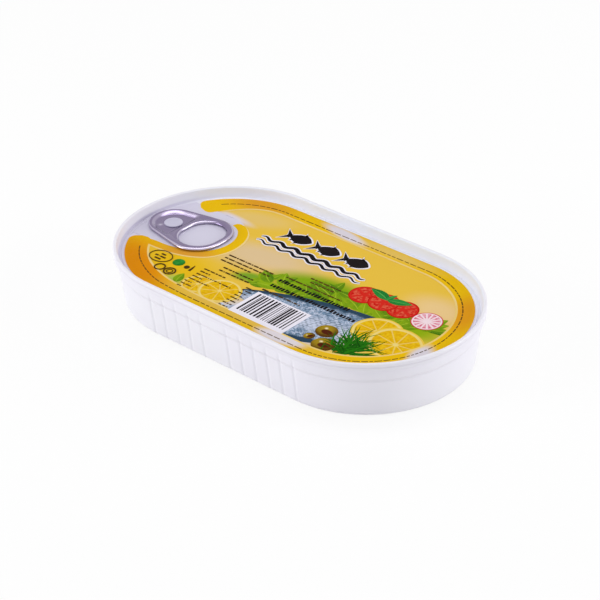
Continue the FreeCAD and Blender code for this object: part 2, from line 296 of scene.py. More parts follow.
@dataclass(frozen=True)
class TinPlaces:
    """Places of the tin that every piece is built from, read from the frame."""

    oval: Oval
    height: float
    seam_foot: float
    panel: float
    rivet_x: float
    tab_low: float
    tab_high: float

    @staticmethod
    def read() -> "TinPlaces":
        """Measure the frame's nodes and return their places in millimetres."""
        lid_low, lid_high = (np.array(corner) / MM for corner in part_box("lid_end"))
        body_high = np.array(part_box("can_body")[1]) / MM
        rivet_low, rivet_high = (np.array(corner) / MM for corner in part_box("rivet"))
        tab_low, tab_high = (np.array(corner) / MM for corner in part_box("pull_tab"))
        radius = float(lid_high[1] - lid_low[1]) / 2
        return TinPlaces(
            oval=Oval(float(lid_high[0] - lid_low[0]) / 2 - radius, radius),
            height=float(lid_high[2]), seam_foot=float(body_high[2]), panel=float(rivet_low[2]),
            rivet_x=float(rivet_low[0] + rivet_high[0]) / 2, tab_low=float(tab_low[2]),
            tab_high=float(tab_high[2]))


def rounded(corners: list[tuple[float, float, float]]) -> Array:
    """Open profile whose corners are rounded by arcs.

    Args:
        corners: (inset, height, rounding) of each corner, in order.

    Returns:
        Points (inset, height).  At a corner with unit directions a back and b
        on, the arc starts at corner + a*t with t = rounding / tan(half angle),
        ends at corner + b*t, and has its centre on the bisector.  Each arc has
        one more point just before it and just after it, which keeps the flat
        stretches flat in shading.
    """
    table = np.array(corners, dtype=float)
    places, rounding = table[:, :2], table[:, 2]
    pieces = [places[:1]]
    for back, here, on, radius in zip(places[:-2], places[1:-1], places[2:], rounding[1:-1]):
        a = (back - here) / np.linalg.norm(back - here)
        b = (on - here) / np.linalg.norm(on - here)
        half = math.acos(float(np.clip(a @ b, -1.0, 1.0))) / 2
        reach = radius / math.tan(half)
        middle = here + (a + b) / np.linalg.norm(a + b) * radius / math.sin(half)
        begin, end = here + a * reach - middle, here + b * reach - middle
        share = np.linspace(0.0, 1.0, ARC_STEPS)[:, None]
        sweep = math.pi - 2 * half
        arc = (np.sin((1 - share) * sweep) * begin + np.sin(share * sweep) * end) / math.sin(sweep)
        hold = min(ARC_HOLD, radius * 0.3)
        pieces += [here[None] + a * (reach + hold), middle + arc, here[None] + b * (reach + hold)]
    pieces.append(places[-1:])
    return np.concatenate(pieces)


# ---------------------------------------------------------------- materials


class Value:
    """Output of a node; sums and products of values build further nodes."""

    def __init__(self, graph: "Graph", socket: bpy.types.NodeSocket) -> None:
        """Hold a socket of one of graph's nodes."""
        self.graph = graph
        self.socket = socket

    def __add__(self, other: "Given") -> "Value":
        """Sum."""
        return self.graph.math("ADD", self, other)

    def __sub__(self, other: "Given") -> "Value":
        """Difference."""
        return self.graph.math("SUBTRACT", self, other)

    def __rsub__(self, other: float) -> "Value":
        """Difference from a plain number."""
        return self.graph.math("SUBTRACT", other, self)

    def __mul__(self, other: "Given") -> "Value":
        """Product."""
        return self.graph.math("MULTIPLY", self, other)

    def __mod__(self, other: float) -> "Value":
        """Remainder."""
        return self.graph.math("MODULO", self, other)

    def __abs__(self) -> "Value":
        """Size without sign."""
        return self.graph.math("ABSOLUTE", self)


Given = Value | float | Colour


class Graph:
    """Adds nodes to one tree and links them, so a material reads as a formula."""

    def __init__(self, tree: bpy.types.NodeTree) -> None:
        """Work on an emptied tree."""
        self.tree = tree
        tree.nodes.clear()

    def feed(self, socket: bpy.types.NodeSocket, value: Given) -> None:
        """Link value into socket, or set it if it is a plain value."""
        if isinstance(value, Value):
            self.tree.links.new(value.socket, socket)
        elif socket.type == "RGBA":
            socket.default_value = (*value, 1.0)
        else:
            socket.default_value = value

    def node(self, kind: str, **inputs: Given) -> bpy.types.Node:
        """New node of a kind; inputs are set or linked by name, with _ for a space."""
        made = self.tree.nodes.new(kind)
        for name, value in inputs.items():
            self.feed(made.inputs[name.replace("_", " ")], value)
        return made

    def read(self, node: bpy.types.Node, output: str | int = 0) -> Value:
        """Value of one of a node's outputs, the first if none is named."""
        return Value(self, node.outputs[output])

    def math(self, operation: str, *values: Given) -> Value:
        """Result of a Math node on one or two values."""
        made = self.node("ShaderNodeMath")
        made.operation = operation
        for socket, value in zip(made.inputs, values):
            self.feed(socket, value)
        return self.read(made)

    def length(self, x: Value, y: Value) -> Value:
        """Length of (x, y)."""
        return self.math("SQRT", x * x + y * y)

    def mix(self, share: Given, low: Given, high: Given) -> Value:
        """Colour between low and high by share, which is clamped to 0 and 1."""
        made = self.node("ShaderNodeMix")
        made.data_type = "RGBA"
        for name, value in (("Factor_Float", share), ("A_Color", low), ("B_Color", high)):
            self.feed(next(s for s in made.inputs if s.identifier == name), value)
        return Value(self, next(s for s in made.outputs if s.identifier == "Result_Color"))

    def ease(self, value: Given, low: float, high: float) -> Value:
        """Smooth step of value from low to high, which may be in falling order."""
        made = self.node("ShaderNodeMapRange", Value=value)
        made.interpolation_type = "SMOOTHSTEP"
        ends = (low, high, 0.0, 1.0) if low < high else (high, low, 1.0, 0.0)
        for name, end in zip(("From Min", "From Max", "To Min", "To Max"), ends):
            made.inputs[name].default_value = end
        return self.read(made, "Result")

    def scaled(self, vector: Value, factor: Given) -> Value:
        """Vector or colour times a number."""
        made = self.node("ShaderNodeVectorMath")
        made.operation = "SCALE"
        self.feed(made.inputs[0], vector)
        self.feed(made.inputs["Scale"], factor)
        return self.read(made)

    def split(self, vector: Value) -> tuple[Value, Value, Value]:
        """The three parts of a vector."""
        parts = self.node("ShaderNodeSeparateXYZ", Vector=vector)
        return self.read(parts, "X"), self.read(parts, "Y"), self.read(parts, "Z")

    def location(self) -> Value:
        """Object coordinates of a point, in metres."""
        return self.read(self.node("ShaderNodeTexCoord"), "Object")

    def place(self) -> tuple[Value, Value, Value]:
        """The x, y and z of a point, in millimetres."""
        return self.split(self.scaled(self.location(), 1.0 / MM))

    def motif(self) -> tuple[Value, Value]:
        """The (u, v) of a printed shape."""
        made = self.node("ShaderNodeUVMap")
        made.uv_map = UV_NAME
        u, v, _ = self.split(self.read(made, "UV"))
        return u, v

    def tone(self) -> Value:
        """The tone that each shape carries, from 0 to 1."""
        made = self.node("ShaderNodeAttribute")
        made.attribute_name = TONE_NAME
        return self.read(made, "Fac")

    def noise(self, size: float, detail: float = 2.0,
              stretch: tuple[float, float, float] = (1.0, 1.0, 1.0)) -> Value:
        """Noise on Object coordinates whose grains are about size millimetres."""
        scaled = self.node("ShaderNodeMapping", Vector=self.location(), Scale=stretch)
        return self.read(self.node("ShaderNodeTexNoise", Vector=self.read(scaled),
                                   Scale=1.0 / (size * MM), Detail=detail))

    def spot(self, centre: Place, half: Place, degrees: float, soft: float) -> Value:
        """Soft ellipse: 1 inside, falling to 0 over the share soft of its size.

        Args:
            centre: its middle on the lid.
            half: its two half lengths.
            degrees: turn of the first half length from x.
            soft: 0 for a crisp edge, 1 for a fall from the middle.

        Returns:
            The mask.
        """
        x, y, _ = self.place()
        dx, dy = x - centre[0], y - centre[1]
        c, s = math.cos(math.radians(degrees)), math.sin(math.radians(degrees))
        away = self.length(dx * (c / half[0]) + dy * (s / half[0]),
                           dy * (c / half[1]) - dx * (s / half[1]))
        return self.ease(away, 1.0, 1.0 - soft)


class Shared(Enum):
    """Node groups that several materials use."""

    FILM = "printed_film"
    SCUFF = "handling_scuffs"


def shared_group(which: Shared) -> bpy.types.NodeTree:
    """Build one of the shared groups once, and return it.

    FILM gives the fine mottling, uneven gloss and orange peel of a lacquer or
    an ink film.  SCUFF gives the faint rubbed marks of handling.  The shade is
    colour * (1 + away * mottling) and the roughness gloss + away * unevenness,
    where away is the noise about its middle.
    """
    known = bpy.data.node_groups.get(which.value)
    if known:
        return known
    tree = bpy.data.node_groups.new(which.value, "ShaderNodeTree")
    for direction, name, kind in (
            ("INPUT", "Colour", "Color"), ("INPUT", "Mottling", "Float"),
            ("INPUT", "Gloss", "Float"), ("INPUT", "Unevenness", "Float"),
            ("OUTPUT", "Colour", "Color"), ("OUTPUT", "Roughness", "Float"),
            ("OUTPUT", "Height", "Float")):
        tree.interface.new_socket(name, in_out=direction, socket_type=f"NodeSocket{kind}")
    graph = Graph(tree)
    given = graph.node("NodeGroupInput")
    if which is Shared.FILM:
        broad, fine = graph.noise(14.0, 3.0), graph.noise(0.7)
    else:
        broad = graph.noise(9.0, 4.0)
        fine = graph.ease(graph.noise(1.6, 4.0, (0.25, 1.0, 1.0)), 0.62, 0.74)
    away = broad * 0.7 + fine * 0.3 - 0.5
    shade = away * graph.read(given, "Mottling") + 1.0
    graph.node("NodeGroupOutput", Colour=graph.scaled(graph.read(given, "Colour"), shade),
               Roughness=away * graph.read(given, "Unevenness") + graph.read(given, "Gloss"),
               Height=fine * 0.6 + broad * 0.4)
    return tree


@dataclass(frozen=True)
class Finish:
    """Surface of one material, apart from how its colour is worked out."""

    name: str
    roughness: float = 0.35
    unevenness: float = 0.12
    mottling: float = 0.06
    metallic: float = 0.0
    gloss_level: float = 0.012
    peel: float = 0.05
    peel_depth: float = 0.02
    group: Shared = Shared.FILM

    def colour(self, graph: Graph) -> Given:
        """Colour of a point, which each kind of finish works out."""
        raise NotImplementedError

    def material(self) -> bpy.types.Material:
        """The material, built the first time and reused afterwards."""
        known = bpy.data.materials.get(self.name)
        if known:
            return known
        made = bpy.data.materials.new(self.name)
        made.use_nodes = True
        graph = Graph(made.node_tree)
        film = graph.node("ShaderNodeGroup")
        film.node_tree = shared_group(self.group)
        for name, value in (("Colour", self.colour(graph)), ("Mottling", self.mottling),
                            ("Gloss", self.roughness), ("Unevenness", self.unevenness)):
            graph.feed(film.inputs[name], value)
        bump = graph.node("ShaderNodeBump", Height=graph.read(film, "Height"),
                          Strength=self.peel, Distance=self.peel_depth * MM)
        surface = graph.node("ShaderNodeBsdfPrincipled", Base_Color=graph.read(film, "Colour"),
                             Roughness=graph.read(film, "Roughness"), Normal=graph.read(bump),
                             Metallic=self.metallic, Specular_IOR_Level=self.gloss_level)
        graph.node("ShaderNodeOutputMaterial", Surface=graph.read(surface))
        return made


@dataclass(frozen=True, kw_only=True)
class Plain(Finish):
    """One colour that drifts a little towards a second one."""

    base: Colour
    drift: Colour
    grain: float = 30.0
    share: Span = (0.35, 0.65)

    def colour(self, graph: Graph) -> Given:
        """Base to drift by a broad noise."""
        return graph.mix(graph.ease(graph.noise(self.grain), *self.share), self.base, self.drift)


@dataclass(frozen=True, kw_only=True)
class CreaseShaded(Plain):
    """Lacquer with painted shade: darker in a crease running round at one level."""

    painted_crease_shade: Colour
    crease: float
    spread: Span = (0.1, 0.5)

    def colour(self, graph: Graph) -> Given:
        """The painted crease shade by the distance |z - crease| in height."""
        _, _, z = graph.place()
        away = abs(z - self.crease)
        return graph.mix(graph.ease(away, *self.spread), self.painted_crease_shade, super().colour(graph))


@dataclass(frozen=True, kw_only=True)
class LidLacquer(CreaseShaded):
    """Seam lacquer, with painted shade in the gutter and painted light on the far wall and far
    gutter.

    The wall inside the seam lies between two distances, inner, from the tin's
    long middle, which reaches as far as spine.  The gutter lies below level,
    and the far side begins where y passes far.
    """

    # The gutter tint below is painted shade; the far gutter and far wall tints after it are
    # painted light.
    low: Colour
    far_gutter_painted_light: Colour
    far_wall_painted_light: Colour
    spine: float = 32.25
    inner: Span = (39.7, 39.3)
    level: Span = (19.0, 19.8)
    far: Span = (4.0, 32.0)

    def colour(self, graph: Graph) -> Given:
        """Wall tints by sqrt(max(|x| - spine, 0)^2 + y^2), with painted light on the far wall;
        painted gutter shade, lighter on the far side, by z.
        """
        x, y, z = graph.place()
        over = graph.math("MAXIMUM", abs(x) - self.spine, 0.0)
        inside = graph.ease(graph.length(over, y), *self.inner)
        far = graph.ease(y, *self.far)
        plain = graph.mix(inside, super().colour(graph), self.base)
        # Painted light on the far wall inside the seam, then painted gutter shade, lighter on the
        # far side.
        above = graph.mix(far * inside, plain, self.far_wall_painted_light)
        gutter = graph.mix(far, self.low, self.far_gutter_painted_light)
        return graph.mix(graph.ease(z, *self.level), gutter, above)


@dataclass(frozen=True, kw_only=True)
class Washes(Finish):
    """Ground colour with soft ellipses of other colours laid over it.

    Each wash is (colour, centre, half lengths, turn in degrees, softness).
    """

    base: Colour
    washes: tuple[tuple[Colour, Place, Place, float, float], ...]

    def colour(self, graph: Graph) -> Given:
        """Base, then each wash over what lies below it."""
        shown: Given = self.base
        for tint, *shape in self.washes:
            shown = graph.mix(graph.spot(*shape), shown, tint)
        return shown


@dataclass(frozen=True, kw_only=True)
class LeafInk(Finish):
    """Leaf: u runs from stalk to tip, v from -1 to 1 across it."""

    dark: Colour
    light: Colour
    vein: Colour
    veins: float = 9.0
    vein_slant: float = 2.2
    vein_width: float = 0.12
    vein_share: float = 0.45
    midrib: Span = (0.13, 0.03)
    by_tone: float = 0.75
    by_side: float = 0.35
    by_noise: float = 0.9

    def colour(self, graph: Graph) -> Given:
        """Dark to light by tone and side, with a midrib and slanting veins."""
        u, v = graph.motif()
        side = abs(v)
        share = graph.tone() * self.by_tone + graph.ease(v, -1.0, 1.0) * self.by_side
        share = share + (graph.noise(1.8, 3.0) - 0.5) * self.by_noise
        slant = graph.math("FRACT", u * self.veins - side * self.vein_slant)
        veins = graph.ease(abs(slant - 0.5), self.vein_width, 0.0) * self.vein_share
        lines = graph.math("MAXIMUM", veins, graph.ease(side, *self.midrib))
        return graph.mix(lines, graph.mix(share, self.dark, self.light), self.vein)


@dataclass(frozen=True, kw_only=True)
class FishInk(Finish):
    """Herring: u runs from tail to snout, v from -1 at the belly to 1 at the back."""

    back: Colour
    side: Colour
    belly: Colour
    rows: float = 7.0
    first_row: float = 20.0
    along: float = 34.0
    scale_edge: Span = (0.2, 0.6)
    scale_share: float = 0.75
    side_start: Span = (-0.75, 0.25)
    back_start: Span = (0.52, 0.78)
    waver: float = 0.35

    def colour(self, graph: Graph) -> Given:
        """Belly to side to back by height, with rows of staggered scales."""
        u, v = graph.motif()
        row = v * self.rows + self.first_row
        odd = graph.math("FLOOR", row) % 2.0
        cell_u = graph.math("FRACT", u * self.along + odd * 0.5) - 0.5
        cell_v = graph.math("FRACT", row) - 0.5
        shimmer = graph.noise(1.3, 3.0)
        edge = graph.ease(graph.length(cell_u, cell_v), *self.scale_edge)
        scales = edge * graph.ease(shimmer, 0.3, 0.7) * self.scale_share
        glint = graph.ease(shimmer, 0.62, 0.44) * graph.ease(graph.noise(0.5, 1.0), 0.42, 0.6)
        wave = v + (graph.noise(2.5) - 0.5) * self.waver
        lower = graph.mix(graph.ease(wave, *self.side_start), self.belly, self.side)
        scaled = graph.mix(scales, graph.mix(glint, lower, self.belly), self.back)
        return graph.mix(graph.ease(wave, *self.back_start), scaled, self.back)


@dataclass(frozen=True, kw_only=True)
class SliceInk(Finish):
    """Round slice, with (u, v) the place in it from -1 to 1."""

    rind: Colour
    pith: Colour
    flesh: Colour
    glow: Colour
    sectors: float = 9.0
    wall: float
    wall_share: float = 1.0
    core: Span = (0.12, 0.07)
    pith_start: Span = (0.82, 0.86)
    rind_start: Span = (0.92, 0.95)
    glow_share: float = 0.8

    def colour(self, graph: Graph) -> Given:
        """Flesh cut into sectors by walls of pith, inside pith, inside rind."""
        x, y = graph.motif()
        radius = graph.length(x, y)
        sweep = graph.math("ARCTAN2", y, x) * (self.sectors / FULL_TURN)
        from_wall = 0.5 - abs(graph.math("FRACT", sweep) - 0.5)
        width = from_wall * radius * (FULL_TURN / self.sectors)
        walls = graph.ease(width, self.wall, self.wall * 0.4) * self.wall_share
        cells = graph.ease(graph.noise(1.1), 0.35, 0.65) * self.glow_share
        shown = graph.mix(cells, self.flesh, self.glow)
        for share, tint in ((walls, self.pith), (graph.ease(radius, *self.core), self.pith),
                            (graph.ease(radius, *self.pith_start), self.pith),
                            (graph.ease(radius, *self.rind_start), self.rind)):
            shown = graph.mix(share, shown, tint)
        return shown


@dataclass(frozen=True, kw_only=True)
class BeadInk(Finish):
    """Round berry with a hollow, with (u, v) the place in it from -1 to 1."""

    dark: Colour
    light: Colour
    shine: Colour
    hollow: Colour
    lit: Place = (-0.3, 0.35)
    deep: Place = (0.1, -0.12)
    body_reach: Span = (1.3, 0.3)
    hollow_reach: Span = (0.62, 0.46)
    hollow_squash: float = 1.4832
    shine_reach: Span = (0.22, 0.06)

    def colour(self, graph: Graph) -> Given:
        """Dark rim, light body, a dark hollow and a small shine up and to the left."""
        x, y = graph.motif()
        away = graph.length(x - self.lit[0], y - self.lit[1])
        wrinkle = (graph.noise(0.9, 3.0) - 0.5) * 0.5
        deep = graph.length(x - self.deep[0], (y - self.deep[1]) * self.hollow_squash)
        body = graph.mix(graph.ease(away + wrinkle, *self.body_reach), self.dark, self.light)
        body = graph.mix(graph.ease(deep, *self.hollow_reach), body, self.hollow)
        return graph.mix(graph.ease(away, *self.shine_reach), body, self.shine)


@dataclass(frozen=True, kw_only=True)
class ToneInk(Finish):
    """Two colours, mixed by the tone of each shape and across its width."""

    dark: Colour
    light: Colour
    by_tone: float = 0.6

    def colour(self, graph: Graph) -> Given:
        """Dark to light by tone, lighter along one side of the shape."""
        _, v = graph.motif()
        share = graph.tone() * self.by_tone + graph.ease(v, -1.0, 1.0) * (1.0 - self.by_tone)
        return graph.mix(share, self.dark, self.light)


@dataclass(frozen=True, kw_only=True)
class Metal(Finish):
    """Bare rolled aluminium, with the fine lines that rolling leaves along it."""

    base: Colour
    lines: Colour
    bright: Colour
    line_width: float = 0.35
    line_stretch: float = 0.04

    def colour(self, graph: Graph) -> Given:
        """Base to lines by noise drawn out along x, then bright by the tone, which is partly edge
        wear and partly painted highlight.
        """
        grain = graph.noise(self.line_width, stretch=(self.line_stretch, 1.0, 1.0))
        rolled = graph.mix(grain, self.base, self.lines)
        return graph.mix(graph.tone(), rolled, self.bright)


# ---------------------------------------------------------------- tin


def filled(profile: Array) -> Array:
    """Profile with points added so that no step in height is a long one."""
    runs = np.abs(np.diff(profile[:, 1]))
    pieces = [np.linspace(a, b, int(max(1, math.ceil(run / LONGEST_STEP))), endpoint=False)
              for a, b, run in zip(profile[:-1], profile[1:], runs)]
    return np.concatenate([*pieces, profile[-1:]])


@dataclass(frozen=True)
class TinBody:
    """Drawn body: leaning wall with flutes, a step, and the band under the seam."""

    places: TinPlaces
    neck_inset: float = 1.25
    step_level: float = STEP_LEVEL
    step_inset: float = 0.45
    foot_inset: float = 3.4
    foot_round: float = 2.1
    ring_inset: float = 9.5
    ring_width: float = 2.4
    ring_depth: float = 0.5
    flute_count: int = 12
    flute_gap: int = 5
    flute_pitch: float = 6.0
    flute_shift: float = 1.1
    flute_half: float = 0.95
    flute_depth: float = 0.28
    flute_rise: float = 2.9
    flute_fade: float = 1.2
    flute_foot: Span = (0.3, 1.6)
    droop: float = 0.14
    droop_reach: float = 0.9
    droop_start: Span = (0.6, 1.6)
    row_end: Span = (33.0, 38.0)
    step_top: float = 0.55
    crease: float = 0.1
    crease_drop: float = 0.35
    crease_end: float = 1.1
    flank_points: int = 60
    flute_points: int = 13
    end_points: int = 62
    end_start: float = 3.4
    end_step: float = 0.16
    least_gap: float = 0.05

    def flutes(self) -> Array:
        """Middles of the flutes along a flank; one place stays plain."""
        steps = np.arange(self.flute_count) - (self.flute_count - 1) / 2
        return np.delete(self.flute_shift + steps * self.flute_pitch, self.flute_gap)

    def stations(self) -> Array:
        """Distances round the oval, closer together across flutes and past the flanks."""
        oval = self.places.oval
        h = oval.half_straight
        fine = np.linspace(-self.flute_half, self.flute_half, self.flute_points)
        along = np.unique(np.round(np.concatenate([
            np.linspace(-h, h, self.flank_points), (self.flutes()[:, None] + fine).ravel()]), 4))
        along = along[(along >= -h) & (along < h - self.least_gap)]
        along = along[np.append(True, np.diff(along) > self.least_gap)]
        arc = np.concatenate([
            np.arange(0.0, self.end_start, self.end_step),
            np.linspace(self.end_start, oval.half_end, self.end_points, endpoint=False)])
        return oval.walk(along, arc)

    def profile(self) -> Array:
        """Section from the lid's seat, down the wall, to the middle of the base."""
        spine, rim = self.places.oval.radius, self.places.seam_foot
        wall_top = self.neck_inset + self.step_inset
        inner_ring = self.ring_inset + self.ring_width
        return filled(rounded([
            (spine, LID_SEAT_LEVEL, 0.0), (LID_SEAT_INSET, LID_SEAT_LEVEL, 0.05),
            (LID_SEAT_INSET, rim, 0.05), (self.neck_inset, rim, 0.05),
            (self.neck_inset, self.step_level + self.step_top, 0.3),
            (wall_top + self.crease, self.step_level - self.crease_drop, 0.2),
            (wall_top, self.step_level - self.crease_end, 0.3),
            (self.foot_inset, 0.0, self.foot_round),
            (self.ring_inset, 0.0, 0.2), (self.ring_inset + 0.1, self.ring_depth, 0.2),
            (inner_ring - 0.1, self.ring_depth, 0.2), (inner_ring, 0.0, 0.2),
            (spine, 0.0, 0.0)]))

    def build(self) -> Piece:
        """Sweep of the section round the oval, pressed in at the flutes.

        The flute mask falls from 1 at a flute's middle as cos^2 over its half
        width, and fades out above the step and towards the base.  The step
        hangs lower by droop between the flutes, as exp(-(distance/reach)^2) of
        the height above or below it.
        """
        oval, s = self.places.oval, self.stations()
        reach = oval.reach(s)
        profile = self.profile()
        inset, height = profile[:, :1], profile[:, 1:]
        away = np.min(np.abs(reach[:, None] - self.flutes()[None]), axis=1)
        flute = np.cos(np.clip(away / self.flute_half, 0.0, 1.0) * math.pi / 2) ** 2
        flute_top = self.step_level + self.flute_rise
        level = ease(height, *self.flute_foot) * (
            1.0 - ease(height, flute_top - self.flute_fade, flute_top))
        skin = (inset < self.foot_inset + self.foot_round) & (inset > self.neck_inset - 0.1)
        pressed = self.flute_depth * flute[None] * level * skin
        step = np.exp(-((height - self.step_level) / self.droop_reach) ** 2)
        between = ease(away, *self.droop_start) * (
            1.0 - ease(np.abs(reach - self.flute_shift), *self.row_end))
        low = -self.droop * step * (inset < self.foot_inset - 1.0) * between[None]
        return finished_shell("tin_body", oval.sweep(s, inset + pressed, height + low),
                              False, 50.0)


@dataclass(frozen=True)
class TinLid:
    """Easy-open lid: rolled seam, wall inside it, gutter, tear line and panel."""

    places: TinPlaces
    seam_width: float = 1.3
    seam_round: float = 0.6
    foot_inset: float = 2.02
    gutter_inset: float = 3.12
    gutter_depth: float = 0.45
    score_inset: float = 3.7
    score_width: float = 0.25
    score_depth: float = 0.12
    crease: float = 0.22
    crease_top: float = 1.1
    crease_drop: float = 1.5
    crease_end: float = 2.4
    flank_points: int = 40
    end_points: int = 90

    def profile(self) -> Array:
        """Section from the middle of the panel, over the seam, to its underside."""
        spine, top, panel = self.places.oval.radius, self.places.height, self.places.panel
        score_end = self.score_inset + self.score_width
        gutter = panel - self.gutter_depth
        return filled(rounded([
            (spine, panel, 0.0), (score_end, panel, 0.03),
            (score_end - 0.06, panel - self.score_depth, 0.03),
            (self.score_inset + 0.06, panel - self.score_depth, 0.03),
            (self.score_inset, panel, 0.03),
            (self.gutter_inset, panel, 0.18), (self.gutter_inset - 0.12, gutter, 0.22),
            (self.foot_inset, gutter, 0.26),
            (self.seam_width, top, self.seam_round), (0.0, top, self.seam_round),
            (0.0, top - self.crease_top, 0.1), (self.crease, top - self.crease_drop, 0.1),
            (0.0, top - self.crease_end, 0.3), (0.0, self.places.seam_foot, 0.35),
            (LID_SEAT_INSET, self.places.seam_foot, 0.05),
            (LID_SEAT_INSET, LID_SEAT_LEVEL, 0.05), (spine, LID_SEAT_LEVEL, 0.0)]))

    def build(self) -> Piece:
        """Sweep of the section round the oval."""
        oval = self.places.oval
        h = oval.half_straight
        s = oval.walk(np.linspace(-h, h, self.flank_points, endpoint=False),
                      np.linspace(0.0, oval.half_end, self.end_points, endpoint=False))
        profile = self.profile()
        return finished_shell("tin_lid", oval.sweep(s, profile[:, :1], profile[:, 1:]),
                              False, 40.0)


@dataclass(frozen=True)
class Hull:
    """Outline drawn taut round a few discs (x, y, radius)."""

    discs: tuple[Disc, ...]

    def support(self, steps: int = 1440) -> tuple[Array, Array]:
        """Unit normals all round and, for each, how far the outline reaches."""
        angle = np.linspace(0.0, FULL_TURN, steps, endpoint=False)
        normals = np.stack([np.cos(angle), np.sin(angle)], -1)
        table = np.array(self.discs)
        return normals, np.max(table[:, :2] @ normals.T + table[:, 2:], axis=0)

    def outside(self, points: Array) -> Array:
        """Signed distance to the outline, negative inside: max(p.n - reach)."""
        normals, reach = self.support(720)
        return np.max(points.reshape(-1, 2) @ normals.T - reach, axis=1).reshape(points.shape[:-1])

    def ray(self, centre: Place, angle: Array) -> Array:
        """Points of the outline seen from centre: min((reach - c.n) / (d.n))."""
        normals, reach = self.support()
        heading = np.stack([np.cos(angle), np.sin(angle)], -1)
        facing = heading @ normals.T
        room = (reach - np.array(centre) @ normals.T)[None]
        least = 1e-6
        far = np.where(facing > least, room / np.maximum(facing, least), np.inf)
        return np.array(centre) + np.min(far, axis=1)[:, None] * heading


def twin(*discs: Disc) -> tuple[Disc, ...]:
    """Discs together with their mirror images across the tin's long axis."""
    return tuple(discs) + tuple((x, -y, radius) for x, y, radius in discs if y)


def bead(distance: Array, width: Array | float) -> Array:
    """Quarter ellipse from 0 at the start to 1 at half the width."""
    return np.sqrt(1.0 - (1.0 - np.clip(distance * 2 / width, 0.0, 1.0)) ** 2)


